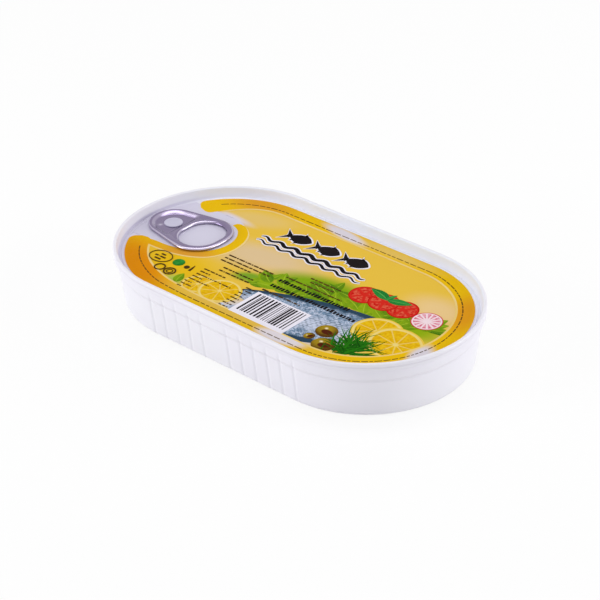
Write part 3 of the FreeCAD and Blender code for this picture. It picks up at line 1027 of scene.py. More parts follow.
@dataclass(frozen=True)
class RingPull:
    """Ring pull: curled edge, finger hole, plate and the well round the rivet.

    Discs are measured from the rivet.
    """

    places: TinPlaces
    edge: Hull = Hull(twin((0.2, 0.0, 9.2), (14.9, 9.4, 2.7), (14.6, 3.4, 8.7), (16.4, 3.2, 7.8),
                           (17.2, 1.4, 7.3)))
    hole: Hull = Hull(twin((14.6, 1.5, 7.6)))
    middle: Place = (15.0, 0.0)
    ring_start: Span = (8.0, 14.0)
    curl: Span = (1.5, 2.5)
    curl_slope: Span = (0.9, 2.8)
    curl_fall: float = 0.65
    rim: float = 1.9
    rim_drop: float = 0.1
    underside: float = 1.2
    web: float = 0.4
    plate: float = 1.12
    web_climb: Span = (3.8, 5.4)
    pip: Place = (-2.6, -4.1)
    pip_height: float = 0.3
    pip_spread: float = 0.45
    # The next five fields set the brighter tone: edge wear with painted highlight on the curl's
    # side, painted highlight on the hole's rim and along the slope by the low plate.
    edge_wear_and_highlight: float = 0.8
    side_fade: Span = (0.16, 0.34)
    rim_fade: Span = (0.3, 0.6)
    slope_painted_highlight: float = 0.45
    line: tuple[Span, Span] = ((1.1, 1.5), (2.1, 2.7))
    swing_points: int = 360
    swing_bunching: float = 0.35
    skin_points: int = 95
    skin_bunching: float = 0.9

    def plan(self) -> Array:
        """Grid ruled from the hole to the edge, closer by both and at the ring's end."""
        swing = np.linspace(0.0, FULL_TURN, self.swing_points, endpoint=False)
        swing = swing - self.swing_bunching * np.sin(swing)
        share = np.linspace(0.0, 1.0, self.skin_points)
        share = share - self.skin_bunching * np.sin(FULL_TURN * share) / FULL_TURN
        inner, outer = self.hole.ray(self.middle, swing), self.edge.ray(self.middle, swing)
        return inner[None] + share[:, None, None] * (outer - inner)[None]

    def wear_and_highlight(self, from_edge: Array, width: Array, flat: Array) -> Array:
        """How bright the metal is made: on the curl's side by edge wear together with painted
        highlight, and along the low plate by a painted highlight.

        Args:
            from_edge: distance to the outline.
            width: width of the curl.
            flat: 1 where the plate lies low round the rivet.

        Returns:
            The brightness, from 0 to 1.
        """
        side = self.edge_wear_and_highlight - self.edge_wear_and_highlight * ease(from_edge / width, *self.side_fade)
        (start, full), (fade, end) = self.line
        line = self.slope_painted_highlight * flat * ease(from_edge, start, full)
        return np.maximum(side, line * (1.0 - ease(from_edge, fade, end)))

    def build(self) -> Piece:
        """Skin over the plan, above and then below.

        With d the distance in from the edge and e the distance out from the
        hole, the plate lies low round the rivet and climbs towards the hole.
        The curl stands on it: round the ring it falls off towards the hole as
        a quarter ellipse of e, and elsewhere it falls over the slope's share t
        of d as 1 - fall t - (1 - fall) t^2.  The rim of the hole is a lower bead
        of e.  A quarter ellipse of d at the edge and of e at the hole rolls the
        skin over.
        """
        thick = self.places.tab_high - self.places.tab_low
        mid = thick / 2
        plan = self.plan()
        from_edge = np.maximum(-self.edge.outside(plan), 0.0)
        from_hole = np.maximum(self.hole.outside(plan), 0.0)
        from_edge[-1], from_hole[0] = 0.0, 0.0
        ring = ease(plan[..., 0], *self.ring_start)
        width = self.curl[0] + (self.curl[1] - self.curl[0]) * ring
        rise, lip = bead(from_edge, width), bead(from_hole, self.rim)
        climb = ease(plan[..., 0], *self.web_climb)
        pip = np.exp(-np.sum((plan - np.array(self.pip)) ** 2, axis=-1) / self.pip_spread)
        plate = self.web + (self.plate - self.web) * climb + self.pip_height * pip
        start, end = self.curl_slope
        t = np.clip((from_edge - start) / (end - start), 0.0, 1.0)
        slope = 1.0 - self.curl_fall * t - (1.0 - self.curl_fall) * t * t
        curl = plate + (thick - plate) * (ring * bead(from_hole, width) + (1.0 - ring) * slope)
        rim = plate + (thick - self.rim_drop - plate) * (1.0 - ring) * (
            1.0 - ease(from_hole, self.rim * 0.6, self.rim * 1.2))
        top = mid + (np.maximum(curl, rim) - mid) * rise * lip
        low = mid - mid * np.minimum(rise, bead(from_hole, self.underside))
        # Brighter tone: painted highlight on the hole's rim, edge wear with painted highlight on
        # the curl, and a lighter pip.
        rim_highlight_and_wear = (1.0 - ring) * (1.0 - ease(from_hole, *self.rim_fade))
        wear_and_highlight = np.maximum(np.maximum(rim_highlight_and_wear, pip), self.wear_and_highlight(from_edge, width, 1.0 - climb))
        place = plan + np.array([self.places.rivet_x, 0.0])
        upper, lower = (np.concatenate([place, (self.places.tab_low + z)[..., None]], -1)
                        for z in (top, low))
        return finished_shell("ring_pull", np.concatenate([upper, lower[-2:0:-1]]), True, 60.0,
                              np.concatenate([wear_and_highlight, wear_and_highlight[-2:0:-1]]))


@dataclass(frozen=True)
class RivetHead:
    """Rivet formed from the lid, with a flattened head."""

    places: TinPlaces
    head_radius: float = 3.4
    shank_radius: float = 1.6
    collar_radius: float = 2.6
    under_head: float = 0.55
    collar: float = 0.15
    top: float = 0.95
    points: int = 96

    def build(self) -> Piece:
        """Profile turned about the rivet's axis: (r cos a, r sin a, z)."""
        profile = rounded([
            (0.0, 0.0, 0.0), (self.collar_radius, 0.0, 0.03),
            (self.collar_radius, self.collar, 0.03), (self.shank_radius, self.collar, 0.03),
            (self.shank_radius, self.under_head, 0.03), (self.head_radius, self.under_head, 0.06),
            (self.head_radius, self.top, 0.24), (0.0, self.top, 0.0)])
        angle = np.linspace(0.0, FULL_TURN, self.points, endpoint=False)
        radius, height = profile[:, :1], profile[:, 1:]
        skin = np.stack([self.places.rivet_x + radius * np.cos(angle), radius * np.sin(angle),
                         self.places.panel + height + 0 * angle], -1)
        return finished_shell("rivet_head", skin, False, 50.0)


# ---------------------------------------------------------------- print


class Level(Enum):
    """Height of each printed layer above the panel, in millimetres."""

    FIELD = 0.010
    LEAVES = 0.020
    FISH = 0.060
    FRUIT = 0.068
    HERBS = 0.080
    BARE = 0.104
    LINES = 0.108
    BAND = 0.114
    PALE = 0.124
    MARKS = 0.130


class PrintLayer:
    """One printed colour, gathered from patches that are grids of points."""

    def __init__(self, name: str, level: Level, panel: float) -> None:
        """Start an empty layer at its level above the panel."""
        self.name = name
        self.height = panel + level.value
        self.thickness = level.value - FILM_GAP
        self.points: list[Array] = []
        self.quads: list[Faces] = []
        self.uvs: list[Array] = []
        self.tones: list[Array] = []
        self.count = 0

    def patch(self, plan: Array, uv: Array, tone: float = 0.5, lift: float = 0.0) -> None:
        """Add one patch.

        Args:
            plan: grid of shape (rows, columns, 2) on the lid.
            uv: grid of the same shape for the material.
            tone: shade of this patch, 0 to 1.
            lift: extra height, so that patches of one layer can overlap.
        """
        along, across = plan[0, -1] - plan[0, 0], plan[-1] - plan[0]
        facing = along[0] * across.mean(0)[1] - along[1] * across.mean(0)[0]
        if facing < 0:
            plan, uv = plan[::-1], uv[::-1]
        rows, columns = plan.shape[:2]
        height = np.full((rows, columns, 1), self.height + lift)
        self.points.append(np.concatenate([plan, height], -1).reshape(-1, 3))
        self.quads.append(grid_faces(rows, columns, False, False) + self.count)
        self.uvs.append(uv.reshape(-1, 2))
        self.tones.append(np.full(rows * columns, tone))
        self.count += rows * columns

    def make(self) -> Piece:
        """One thin piece from all patches, welded where a patch ends in a point."""
        mesh = new_mesh(self.name, np.concatenate(self.points), np.concatenate(self.quads))
        corner = np.empty(len(mesh.loops), dtype=np.int32)
        mesh.loops.foreach_get("vertex_index", corner)
        layer = mesh.uv_layers.new(name=UV_NAME)
        layer.data.foreach_set("uv", np.concatenate(self.uvs)[corner].ravel())
        give_tone(mesh, np.concatenate(self.tones))
        weld(mesh, MERGE / 10)
        mesh.shade_flat()
        piece = placed(self.name, mesh)
        film = piece.modifiers.new("film", "SOLIDIFY")
        film.thickness = self.thickness * MM
        film.offset = -1.0
        return piece


def unit_grid(rows: int, columns: int) -> Patch:
    """Two parameters from 0 to 1: the first runs along each row."""
    v, u = np.meshgrid(np.linspace(0.0, 1.0, rows), np.linspace(0.0, 1.0, columns), indexing="ij")
    return u, v


def ribbon(line: Array, half: Array | float, across: int = 3) -> Patch:
    """Strip along a line: line(u) + v * half(u) * normal(u), with v from -1 to 1.

    Args:
        line: points of shape (n, 2).
        half: half width, or the half width at each point.
        across: points across it.

    Returns:
        The plan and its (u, v).
    """
    tangent = np.gradient(line, axis=0)
    tangent /= np.linalg.norm(tangent, axis=1, keepdims=True)
    normal = np.stack([-tangent[:, 1], tangent[:, 0]], -1)
    u, v = unit_grid(across, len(line))
    side = 2 * v - 1
    reach = np.broadcast_to(half, len(line))[:, None] * normal
    return line[None] + side[..., None] * reach[None], np.stack([u, side], -1)


def disc(centre: Place, radius: float, squash: float = 1.0, degrees: float = 0.0,
         steps: int = 17) -> Patch:
    """Round patch without a pole: (s sqrt(1 - t^2/2), t sqrt(1 - s^2/2)).

    Args:
        centre: its middle.
        radius: its radius.
        squash: its height as a share of its width.
        degrees: its turn.
        steps: points along each side of the square it comes from.

    Returns:
        The plan, and the place within it from -1 to 1 as (u, v).
    """
    u, v = unit_grid(steps, steps)
    s, t = 2 * u - 1, 2 * v - 1
    x, y = s * np.sqrt(1 - t * t / 2), t * np.sqrt(1 - s * s / 2)
    plan = turned(radius * x, radius * squash * y, degrees, centre)
    return np.stack(plan, -1), np.stack([x, y], -1)


def hoop(centre: Place, radius: float, half: float, squash: float = 1.0) -> Patch:
    """Ring of even width round a centre, as a ribbon on an ellipse."""
    angle = np.linspace(0.0, FULL_TURN, HOOP_POINTS)
    line = turned(radius * np.cos(angle), radius * squash * np.sin(angle), 0.0, centre)
    return ribbon(np.stack(line, -1), half)


def bar(left: float, right: float, low: float, high: float) -> Patch:
    """Upright rectangle."""
    u, v = unit_grid(2, 2)
    return np.stack([left + (right - left) * u, low + (high - low) * v], -1), np.stack([u, v], -1)


def spline(marks: tuple[Place, ...], steps: int) -> Array:
    """Smooth line through marks, by Hermite pieces with central slopes.

    Args:
        marks: the points it passes through.
        steps: points of the line.

    Returns:
        Points at equal steps of the parameter.  Between marks a and b, whose
        slopes are p and q, it is a (2t^3 - 3t^2 + 1) + p (t^3 - 2t^2 + t)
        + b (3t^2 - 2t^3) + q (t^3 - t^2).
    """
    table = np.array(marks)
    slope = np.gradient(table, axis=0)
    place = np.linspace(0.0, len(table) - 1.0, steps)
    at = np.minimum(place.astype(int), len(table) - 2)
    t = (place - at)[:, None]
    return (table[at] * (2 * t ** 3 - 3 * t ** 2 + 1) + slope[at] * (t ** 3 - 2 * t ** 2 + t)
            + table[at + 1] * (3 * t ** 2 - 2 * t ** 3) + slope[at + 1] * (t ** 3 - t ** 2))


def ruled(low: Array, high: Array, rows: int) -> Patch:
    """Patch ruled between two lines of as many points."""
    u, v = unit_grid(rows, len(low))
    return low[None] + v[..., None] * (high - low)[None], np.stack([u, v], -1)


def bent_line(start: Place, degrees: float, length: float, bend: float, steps: int) -> Array:
    """Line whose heading turns by bend degrees over its length.

    The point at share t is start + length * (t cos a, t sin a) with the
    heading a = degrees + bend * t / 2.
    """
    t = np.linspace(0.0, 1.0, steps)
    heading = np.radians(degrees + bend * t / 2)
    return np.stack([start[0] + length * t * np.cos(heading),
                     start[1] + length * t * np.sin(heading)], -1)


def leaf(start: Place, degrees: float, length: float, width: float, bend: float) -> Patch:
    """Leaf: a bent line whose half width is width/2 * sin(pi t^0.8)^0.8."""
    t = np.linspace(0.0, 1.0, 19)
    half = width / 2 * np.clip(np.sin(math.pi * t ** 0.8), 0.0, 1.0) ** 0.8
    return ribbon(bent_line(start, degrees, length, bend, len(t)), half, 7)


def blade(start: Place, degrees: float, length: float, width: float, bend: float) -> Patch:
    """Grass-like blade: half width width/2 * (1 - t^2), and never a point."""
    t = np.linspace(0.0, 1.0, 15)
    return ribbon(bent_line(start, degrees, length, bend, len(t)), width / 2 * (1 - t * t) + 0.02)


@dataclass(frozen=True)
class Herring:
    """Side view of a plain small fish.

    It heads by degrees from the tail root to the snout.  The half depth of its
    body at share t of its length is depth/2 * (0.16 (1-t) + sin(pi t^1.15)^blunt),
    so that a lower blunt is fuller towards the ends.  The outline is let out by
    margin all round, and fan sizes the tail fin.
    """

    tail: Place
    degrees: float
    length: float
    depth: float
    margin: float = 0.0
    fan: float = 1.0
    blunt: float = 0.8

    def half(self, share: Array) -> Array:
        """Half depth of the body at a share of its length."""
        return self.depth / 2 * (0.16 * (1 - share) + np.clip(
            np.sin(math.pi * share ** 1.15), 0.0, 1.0) ** self.blunt)

    def put(self, x: Array, y: Array, share: Array, height: Array) -> Patch:
        """Patch at local (x, y), turned and moved to its place."""
        plan = turned(x, y, self.degrees, self.tail)
        return np.stack(plan, -1), np.stack([share, height], -1)

    def body(self) -> Patch:
        """Body, with u from tail to snout and v from belly to back."""
        t, v = unit_grid(9, 33)
        side = 2 * v - 1
        return self.put(t * (self.length + 2 * self.margin) - self.margin,
                        side * (self.half(t) + self.margin), t, side)

    def tail_fin(self) -> Patch:
        """Fan whose two ends are swept back."""
        b, a = unit_grid(9, 9)
        a = 2 * a - 1
        spread = self.depth * (0.14 + 0.5 * self.fan * b) + self.margin
        sweep = (self.depth * 0.62 * self.fan + self.margin) * b * (0.45 + 0.55 * np.abs(a))
        return self.put(0.3 - sweep, a * spread, 0 * b, 0.8 + 0 * a)

    def fin(self, start: float, reach: float, rise: float, side: float) -> Patch:
        """Curved triangle on the outline.

        Args:
            start: share of the length where it begins.
            reach: how far it runs on, as a share of the length.
            rise: its height as a share of the depth.
            side: 1 on the back, -1 on the belly.

        Returns:
            The plan and its (u, v).
        """
        f, g = unit_grid(5, 9)
        at = start + reach * f * (1 - 0.7 * g)
        tip = g * (self.depth * rise * (1 - f) ** 1.3 + self.margin)
        return self.put((at - 0.04 * g) * self.length - self.margin * (1 - 2 * f),
                        side * (self.half(at) * 0.9 + tip), at, 0.9 * side + 0 * f)

    def patches(self) -> list[Patch]:
        """Body, tail and three fins."""
        return [self.body(), self.tail_fin(), self.fin(0.52, 0.17, 0.3, 1.0),
                self.fin(0.46, 0.1, 0.22, -1.0), self.fin(0.2, 0.12, 0.16, -1.0)]


@dataclass(frozen=True)
class Rounds:
    """Piece of round shapes, each (middle, radius, height over width, turn).

    The first lies at lift over its level and each further one by pitch higher.
    """

    name: str
    level: Level
    discs: tuple[tuple[Place, float, float, float], ...]
    lift: float = 0.0
    pitch: float = 0.0
    steps: int = 25


# Places on the lid: x along the tin and y across it, from its middle.

LOOP_INSIDE = ((-62.2, -14.2), (-56.5, -12.9), (-50.4, -12.5), (-44.6, -11.3), (-39.4, -9.2),
               (-35.4, -5.4), (-33.6, -1.0), (-33.5, 3.4), (-34.8, 7.4), (-37.2, 10.6),
               (-39.6, 12.2), (-41.9, 12.9))
LOOP_OUTSIDE = ((-62.0, -15.6), (-56.5, -16.1), (-50.4, -15.9), (-44.6, -15.2), (-38.2, -13.0),
                (-32.6, -8.8), (-29.6, -1.6), (-30.0, 5.4), (-32.6, 11.0), (-36.4, 14.4),
                (-39.6, 15.4), (-41.4, 14.8))
LOOP_STEPS = 120

LEMONS = Rounds("print_lemon_slices", Level.FRUIT, (
    ((-22.5, -25.0), 6.2, 0.9, 40.0), ((-13.5, -23.5), 8.0, 0.95, 10.0),
    ((44.5, -9.0), 9.0, 0.92, 20.0), ((54.5, -11.5), 10.8, 0.86, -25.0)), pitch=0.0015)
TOMATOES = Rounds("print_tomato_slices", Level.FRUIT, (
    ((26.3, 6.2), 5.6, 0.98, 15.0), ((42.4, 7.0), 5.6, 0.98, 50.0),
    ((34.4, 6.6), 5.6, 0.98, 0.0)), lift=0.006, pitch=0.0015)
RADISH = Rounds("print_radish_slice", Level.FRUIT, (((53.2, 6.4), 5.5, 1.0, 0.0),), lift=0.006)
BERRIES = Rounds("print_berries", Level.HERBS, (
    ((31.8, -19.6), 4.0, 0.93, 0.0), ((36.2, -26.4), 4.2, 0.93, 20.0),
    ((43.4, -25.6), 2.6, 0.93, 40.0), ((29.2, -25.4), 2.0, 0.93, 60.0)), pitch=0.001, steps=17)
GREEN_DOT = Rounds("print_green_dot", Level.PALE, (((-38.0, -18.6), 2.25, 1.0, 0.0),), steps=17)

WHOLE_FISH = ((Herring((-6.0, -30.8), 11.5, 47.0, 13.5, fan=0.3, blunt=0.6), -1.2),
              (Herring((-9.5, -20.0), 11.5, 72.0, 15.0, fan=0.3, blunt=0.6), 1.0))
TITLE_FISH = tuple(Herring((x, 20.6), 3.0, 9.6, 5.8) for x in (-20.6, -7.4, 5.8))
TITLE_WAVES = ((13.9, 0.85), (11.1, 0.6))
TITLE_EDGE = 0.5
WAVE_COUNT = 7
WAVE_HEIGHT = 0.75
WAVE_EDGE = 0.45

# Dashed rows (left, right, height, half width) of the small marks.
UPPER_ROWS = ((-28.0, -7.0, -3.4, 0.3), (-28.0, -7.0, -5.5, 0.3), (-28.0, -14.0, -7.6, 0.3),
              (-23.5, -9.5, -11.0, 0.3), (-23.5, -9.5, -13.2, 0.3))
COLUMN_ENDS = (-18.0, -23.5, -11.5, -23.5, -18.5, -24.5, -23.0, -25.5)
RIGHT_ROWS = ((5.0, 19.0, 2.9, 0.3), (6.5, 17.0, 0.8, 0.3), (-2.0, 23.0, -2.0, 0.3),
              (-3.0, 14.0, -13.2, 0.35))
ROUND_MARK_ROWS = ((-47.0, -45.0, -18.0, 0.36), (-48.6, -43.4, -19.6, 0.36),
                   (-47.4, -44.6, -21.2, 0.36))


@dataclass(frozen=True)
class LidPrint:
    """Print of the lid: field, gold band, leaves, fish, fruit, herbs and marks."""

    places: TinPlaces
    seed: int = 7
    field_inset: float = 9.6
    field_grid: tuple[int, int] = (25, 121)
    bare_middle: Place = (-44.4, 1.6)
    bare_half: Place = (12.6, 15.6)
    bare_swing: Span = (100.0, -88.0)
    bare_sides: Span = (17.2, -13.6)
    band_outer: float = 4.0
    band_inner: float = 9.8
    band_cap: float = 3.6
    band_ends: Span = (24.0, -28.5)
    lower_widening: float = 2.2
    lower_reach: Span = (72.0, 112.0)
    upper_widening: float = 3.6
    upper_reach: Span = (-82.0, -34.0)
    cream_ends: Span = (34.0, -42.0)
    cream_half: float = 0.75
    dash_ends: Span = (37.5, -44.0)
    leaf_count: int = 54
    leaf_run: Span = (-11.0, 59.0)
    leaf_crown: Span = (-6.5, 7.5)
    leaf_size: Span = (6.0, 10.0)
    chive_count: int = 120
    chive_root: Place = (44.0, -24.0)
    chive_spread: Span = (2.0, 2.4)
    chive_heading: Span = (10.0, 174.0)
    chive_length: Span = (4.0, 14.0)
    chive_width: Span = (0.35, 0.8)

    def layer(self, name: str, level: Level) -> PrintLayer:
        """Empty layer on this lid's panel."""
        return PrintLayer(name, level, self.places.panel)

    def chance(self, number: int) -> np.random.Generator:
        """Random draws of one piece, the same on each run."""
        return np.random.default_rng(self.seed + number)

    def field(self) -> Piece:
        """Ground of the print: the oval, ruled between its near and far edge."""
        oval = self.places.oval
        u, v = unit_grid(*self.field_grid)
        end = oval.half_straight + oval.radius - self.field_inset
        x = -end * np.cos(math.pi * u)
        y = (2 * v - 1) * oval.half_width(x, self.field_inset)
        layer = self.layer("print_field", Level.FIELD)
        layer.patch(np.stack([x, y], -1), np.stack([u, v], -1))
        return layer.make()

    def bare(self) -> Piece:
        """Unprinted place under the ring pull, ruled between its two sides.

        Its right side is an arc that the gold loop covers, and its left side
        follows the panel's edge.
        """
        oval = self.places.oval
        swing = np.radians(np.linspace(*self.bare_swing, 60))
        arc = np.stack([np.cos(swing), np.sin(swing)], -1)
        right = np.array(self.bare_middle) + np.array(self.bare_half) * arc
        y = np.linspace(*self.bare_sides, len(swing))
        edge = oval.half_straight + np.sqrt((oval.radius - self.band_outer) ** 2 - y ** 2)
        layer = self.layer("print_bare", Level.BARE)
        layer.patch(*ruled(np.stack([-edge, y], -1), right, 24))
        return layer.make()

    def inner_side(self, s: Array) -> Array:
        """Inset of the band's inner side at distances s along the outline.

        It is wider near both of its ends, at the lower and the upper left.
        """
        oval = self.places.oval
        lower = 1.0 - ease(s, *map(oval.nose, self.lower_reach))
        upper = ease(s - oval.lap, *map(oval.nose, self.upper_reach))
        return self.band_inner + self.lower_widening * lower + self.upper_widening * upper

    def band(self) -> Piece:
        """Gold band round the lid and the gold loop round the ring pull.

        The band runs anticlockwise from the lower left to the upper left, and
        quarter ellipses over its last few millimetres round both ends off.
        """
        oval = self.places.oval
        s = np.linspace(*oval.span(*self.band_ends), 420)
        inner = self.inner_side(s)
        from_end = np.clip(np.minimum(s - s[0], s[-1] - s) / self.band_cap, 0.0, 1.0)
        cap = np.sqrt(1.0 - (1.0 - from_end) ** 2)
        u, v = unit_grid(7, len(s))
        middle, half = (inner + self.band_outer) / 2, (inner - self.band_outer) / 2 * cap
        plan = oval.inside(s[None], middle[None] + (2 * v - 1) * half[None])
        layer = self.layer("print_gold_band", Level.BAND)
        layer.patch(plan, np.stack([u, v], -1))
        layer.patch(*ruled(spline(LOOP_INSIDE, LOOP_STEPS), spline(LOOP_OUTSIDE, LOOP_STEPS), 5),
                    lift=0.001)
        return layer.make()

    def cream_lines(self) -> Piece:
        """Pale line between the band, or the loop, and the field.

        The line along the loop narrows towards its end by the ring pull.
        """
        oval = self.places.oval
        s = np.linspace(*oval.span(*self.cream_ends), 360)
        layer = self.layer("print_cream_line", Level.LINES)
        layer.patch(*ribbon(oval.inside(s, self.inner_side(s)), self.cream_half))
        loop = spline(LOOP_OUTSIDE, LOOP_STEPS)[14:104]
        to_end = np.arange(len(loop), 0.0, -1.0)
        layer.patch(*ribbon(loop, 0.65 * ease(to_end, 0.0, 24.0) + 0.02), lift=0.001)
        return layer.make()

    def leaves(self) -> Piece:
        """Cluster of leaves along the fish's back, and one by the round marks."""
        chance = self.chance(0)
        layer = self.layer("print_leaves", Level.LEAVES)
        steps = self.leaf_count
        (left, right), (low, high) = self.leaf_run, self.leaf_crown
        share = (np.arange(steps) + chance.uniform(-0.5, 0.5, size=steps)) / steps
        x = left + (right - left) * share
        back = -11.4 + 0.2 * x
        crown = low + (high - low) * ease(x, -12.0, 6.0)
        y = back + (crown - back) * chance.uniform(-0.1, 0.62, size=steps)
        for count in chance.permutation(steps):
            size = chance.uniform(*self.leaf_size)
            shade = 1.0 - 0.7 * math.exp(-((x[count] - 14.0) / 9.0) ** 2)
            layer.patch(*leaf((x[count], y[count]), 90.0 + chance.uniform(-85, 85), size,
                              size * 0.5, chance.uniform(-40, 40)),
                        tone=shade * chance.uniform(0.0, 1.0), lift=0.0006 * count)
        layer.patch(*leaf((-29.5, -28.8), 118.0, 6.2, 3.6, -25.0), tone=0.6, lift=0.034)
        return layer.make()

    def fishes(self) -> Piece:
        """Two whole small fish side by side, belly to belly, without fins."""
        layer = self.layer("print_herring", Level.FISH)
        for count, (fish, roll) in enumerate(WHOLE_FISH):
            for part, (plan, uv) in enumerate((fish.body(), fish.tail_fin())):
                layer.patch(self.places.oval.within(plan, self.field_inset - 2.0),
                            uv * np.array([1.0, roll]),
                            lift=0.0012 * (count * 3 + (part == 0)))
        return layer.make()

    def rounds(self, rounds: Rounds) -> Piece:
        """Slices, berries or a dot."""
        layer = self.layer(rounds.name, rounds.level)
        for count, shape in enumerate(rounds.discs):
            layer.patch(*disc(*shape, rounds.steps), lift=rounds.lift + rounds.pitch * count)
        return layer.make()

    def sprig(self) -> Piece:
        """Leaf pair on the tomato slices, with a small third leaf."""
        layer = self.layer("print_sprig", Level.HERBS)
        for count, (start, heading, size) in enumerate((
                ((34.5, 8.5), 152.0, 9.5), ((34.5, 8.5), 18.0, 9.0), ((34.3, 8.0), 92.0, 5.0))):
            layer.patch(*leaf(start, heading, size, size * 0.42, 26.0 - 26.0 * count),
                        tone=0.35 + 0.2 * count, lift=0.001 * count)
        return layer.make()

    def chives(self) -> Piece:
        """Fan of thin green blades."""
        chance = self.chance(1)
        layer = self.layer("print_chives", Level.HERBS)
        for count in range(self.chive_count):
            root = chance.normal(self.chive_root, self.chive_spread)
            shape = [chance.uniform(*ends) for ends in (
                self.chive_heading, self.chive_length, self.chive_width, (-60, 60))]
            layer.patch(*blade(root, *shape),
                        tone=chance.uniform(0, 1), lift=0.0045 + 0.00015 * count)
        return layer.make()

    def title(self) -> tuple[Piece, Piece]:
        """Row of black fish over black waves, each with a white edge."""
        ground = self.layer("print_title_edge", Level.PALE)
        front = self.layer("print_title", Level.MARKS)
        for fish in TITLE_FISH:
            for layer, shape in ((ground, replace(fish, margin=TITLE_EDGE)), (front, fish)):
                for patch in shape.patches():
                    layer.patch(*patch)
        t = np.linspace(0.0, 1.0, 150)
        taper = np.sin(math.pi * np.clip(t, 0.001, 0.999)) ** 0.3
        for level, thick in TITLE_WAVES:
            y = level + WAVE_HEIGHT * np.sin(WAVE_COUNT * FULL_TURN * t)
            line = np.stack([-28.5 + 48.5 * t, y], -1)
            ground.patch(*ribbon(line, thick * taper + WAVE_EDGE))
            front.patch(*ribbon(line, thick * taper))
        return ground.make(), front.make()

    def striped_block(self) -> tuple[Piece, Piece]:
        """White block with black bars of several widths."""
        ground = self.layer("print_white_block", Level.PALE)
        ground.patch(*bar(-2.8, 21.4, -30.6, -15.4))
        front = self.layer("print_bars", Level.MARKS)
        edges = -1.6 + np.cumsum(self.chance(2).choice([0.25, 0.35, 0.55, 0.8], size=80))
        for left, right in zip(edges[0:-1:2], edges[1::2]):
            if right < 20.4:
                front.patch(*bar(left, right, -28.4, -16.2))
        return ground.make(), front.make()

    def bold_marks(self) -> Piece:
        """Two rows of short thick bars over the fish."""
        chance = self.chance(4)
        layer = self.layer("print_bold_marks", Level.MARKS)
        for left, right, low in ((-3.0, 29.0, -5.75), (-3.0, 35.0, -9.95)):
            edges = left + np.cumsum(np.tile([0.45, 0.85], 40) * chance.uniform(
                0.7, 1.4, size=80))
            for start, stop, tall in zip(edges[0:-1:2], edges[1::2], chance.uniform(
                    1.36, 1.92, size=40)):
                if stop < right:
                    layer.patch(*bar(start, stop, low, low + tall))
        return layer.make()

    def fine_marks(self) -> Piece:
        """Rows of short dashes, the dashed line in the band, rings and dots."""
        chance = self.chance(3)
        layer = self.layer("print_fine_marks", Level.MARKS)

        def dashes(left: float, right: float, y: float, half: float) -> None:
            """Row of dashes of uneven lengths at height y."""
            ends = left + np.cumsum(chance.uniform(0.6, 3.4, size=60))
            for start, stop in zip(np.append(left, ends[:-1] + 0.5), ends):
                if start < right:
                    layer.patch(*ribbon(np.array([[start, y], [min(stop, right), y]]), half))

        for row in UPPER_ROWS:
            dashes(*row)
        for step, end in enumerate(COLUMN_ENDS):
            y = -16.0 - 1.95 * step
            dashes(-28.0, end, y, 0.26)
            dashes(-8.0, -4.0, y, 0.26)
        for row in RIGHT_ROWS:
            dashes(*row)
        oval = self.places.oval
        s, stop = oval.span(*self.dash_ends)
        while s < stop:
            end = s + chance.uniform(1.2, 3.6)
            run = np.linspace(s, end, 6)
            inset = 7.2 + 2.0 * (1.0 - ease(run, oval.nose(60.0), oval.nose(110.0)))
            inset += 0.9 * ease(run, oval.lap / 4 - 40.0, oval.lap / 4 + 20.0)
            layer.patch(*ribbon(oval.inside(run, inset), 0.2))
            s = end + 0.6
        layer.patch(*hoop((-46.0, -19.5), 4.6, 0.16, 0.78))
        for row in ROUND_MARK_ROWS:
            dashes(*row)
        for centre, radius, half in (((-41.0, -25.0), 1.9, 0.24), ((-36.2, -25.0), 2.1, 0.24),
                                     ((-36.2, -25.0), 1.1, 0.14)):
            layer.patch(*hoop(centre, radius, half))
        layer.patch(*disc((-33.5, -19.2), 1.05, steps=9))
        layer.patch(*blade((-31.2, -20.5), 95.0, 4.0, 0.9, 10.0))
        return layer.make()


# ---------------------------------------------------------------- finishes

BODY_LACQUER = CreaseShaded("white_body_lacquer", roughness=0.36, unevenness=0.1, mottling=0.03,
                       gloss_level=0.4, peel=0.12, base=ink(235, 234, 241),
                       # The darker tint by the crease is painted shade at the body's step.
                       drift=ink(233, 231, 240), painted_crease_shade=ink(226, 223, 232), crease=STEP_LEVEL,
                       spread=(0.2, 0.9))
LID_LACQUER = LidLacquer("white_lid_lacquer", roughness=0.3, unevenness=0.1, mottling=0.03,
                         gloss_level=0.4, peel=0.08, base=ink(234, 232, 240),
                         # The gutter tint here is painted shade; the far gutter and far wall tints
                         # are painted light.
                         drift=ink(231, 229, 238), low=ink(211, 207, 225),
                         far_gutter_painted_light=ink(235, 236, 246), far_wall_painted_light=ink(232, 237, 250),
                         # The darker tint by the crease is painted shade at the seam's crease.
                         painted_crease_shade=ink(222, 219, 229), crease=20.95)
BARE_LACQUER = Plain("bare_panel_lacquer", roughness=0.3, unevenness=0.1, mottling=0.04,
                     gloss_level=0.3, base=ink(208, 204, 223), drift=ink(204, 200, 220))
RIVET_LACQUER = Plain("rivet_lacquer", roughness=0.3, mottling=0.04, gloss_level=0.3,
                      base=ink(196, 192, 214), drift=ink(191, 187, 210), grain=6.0)
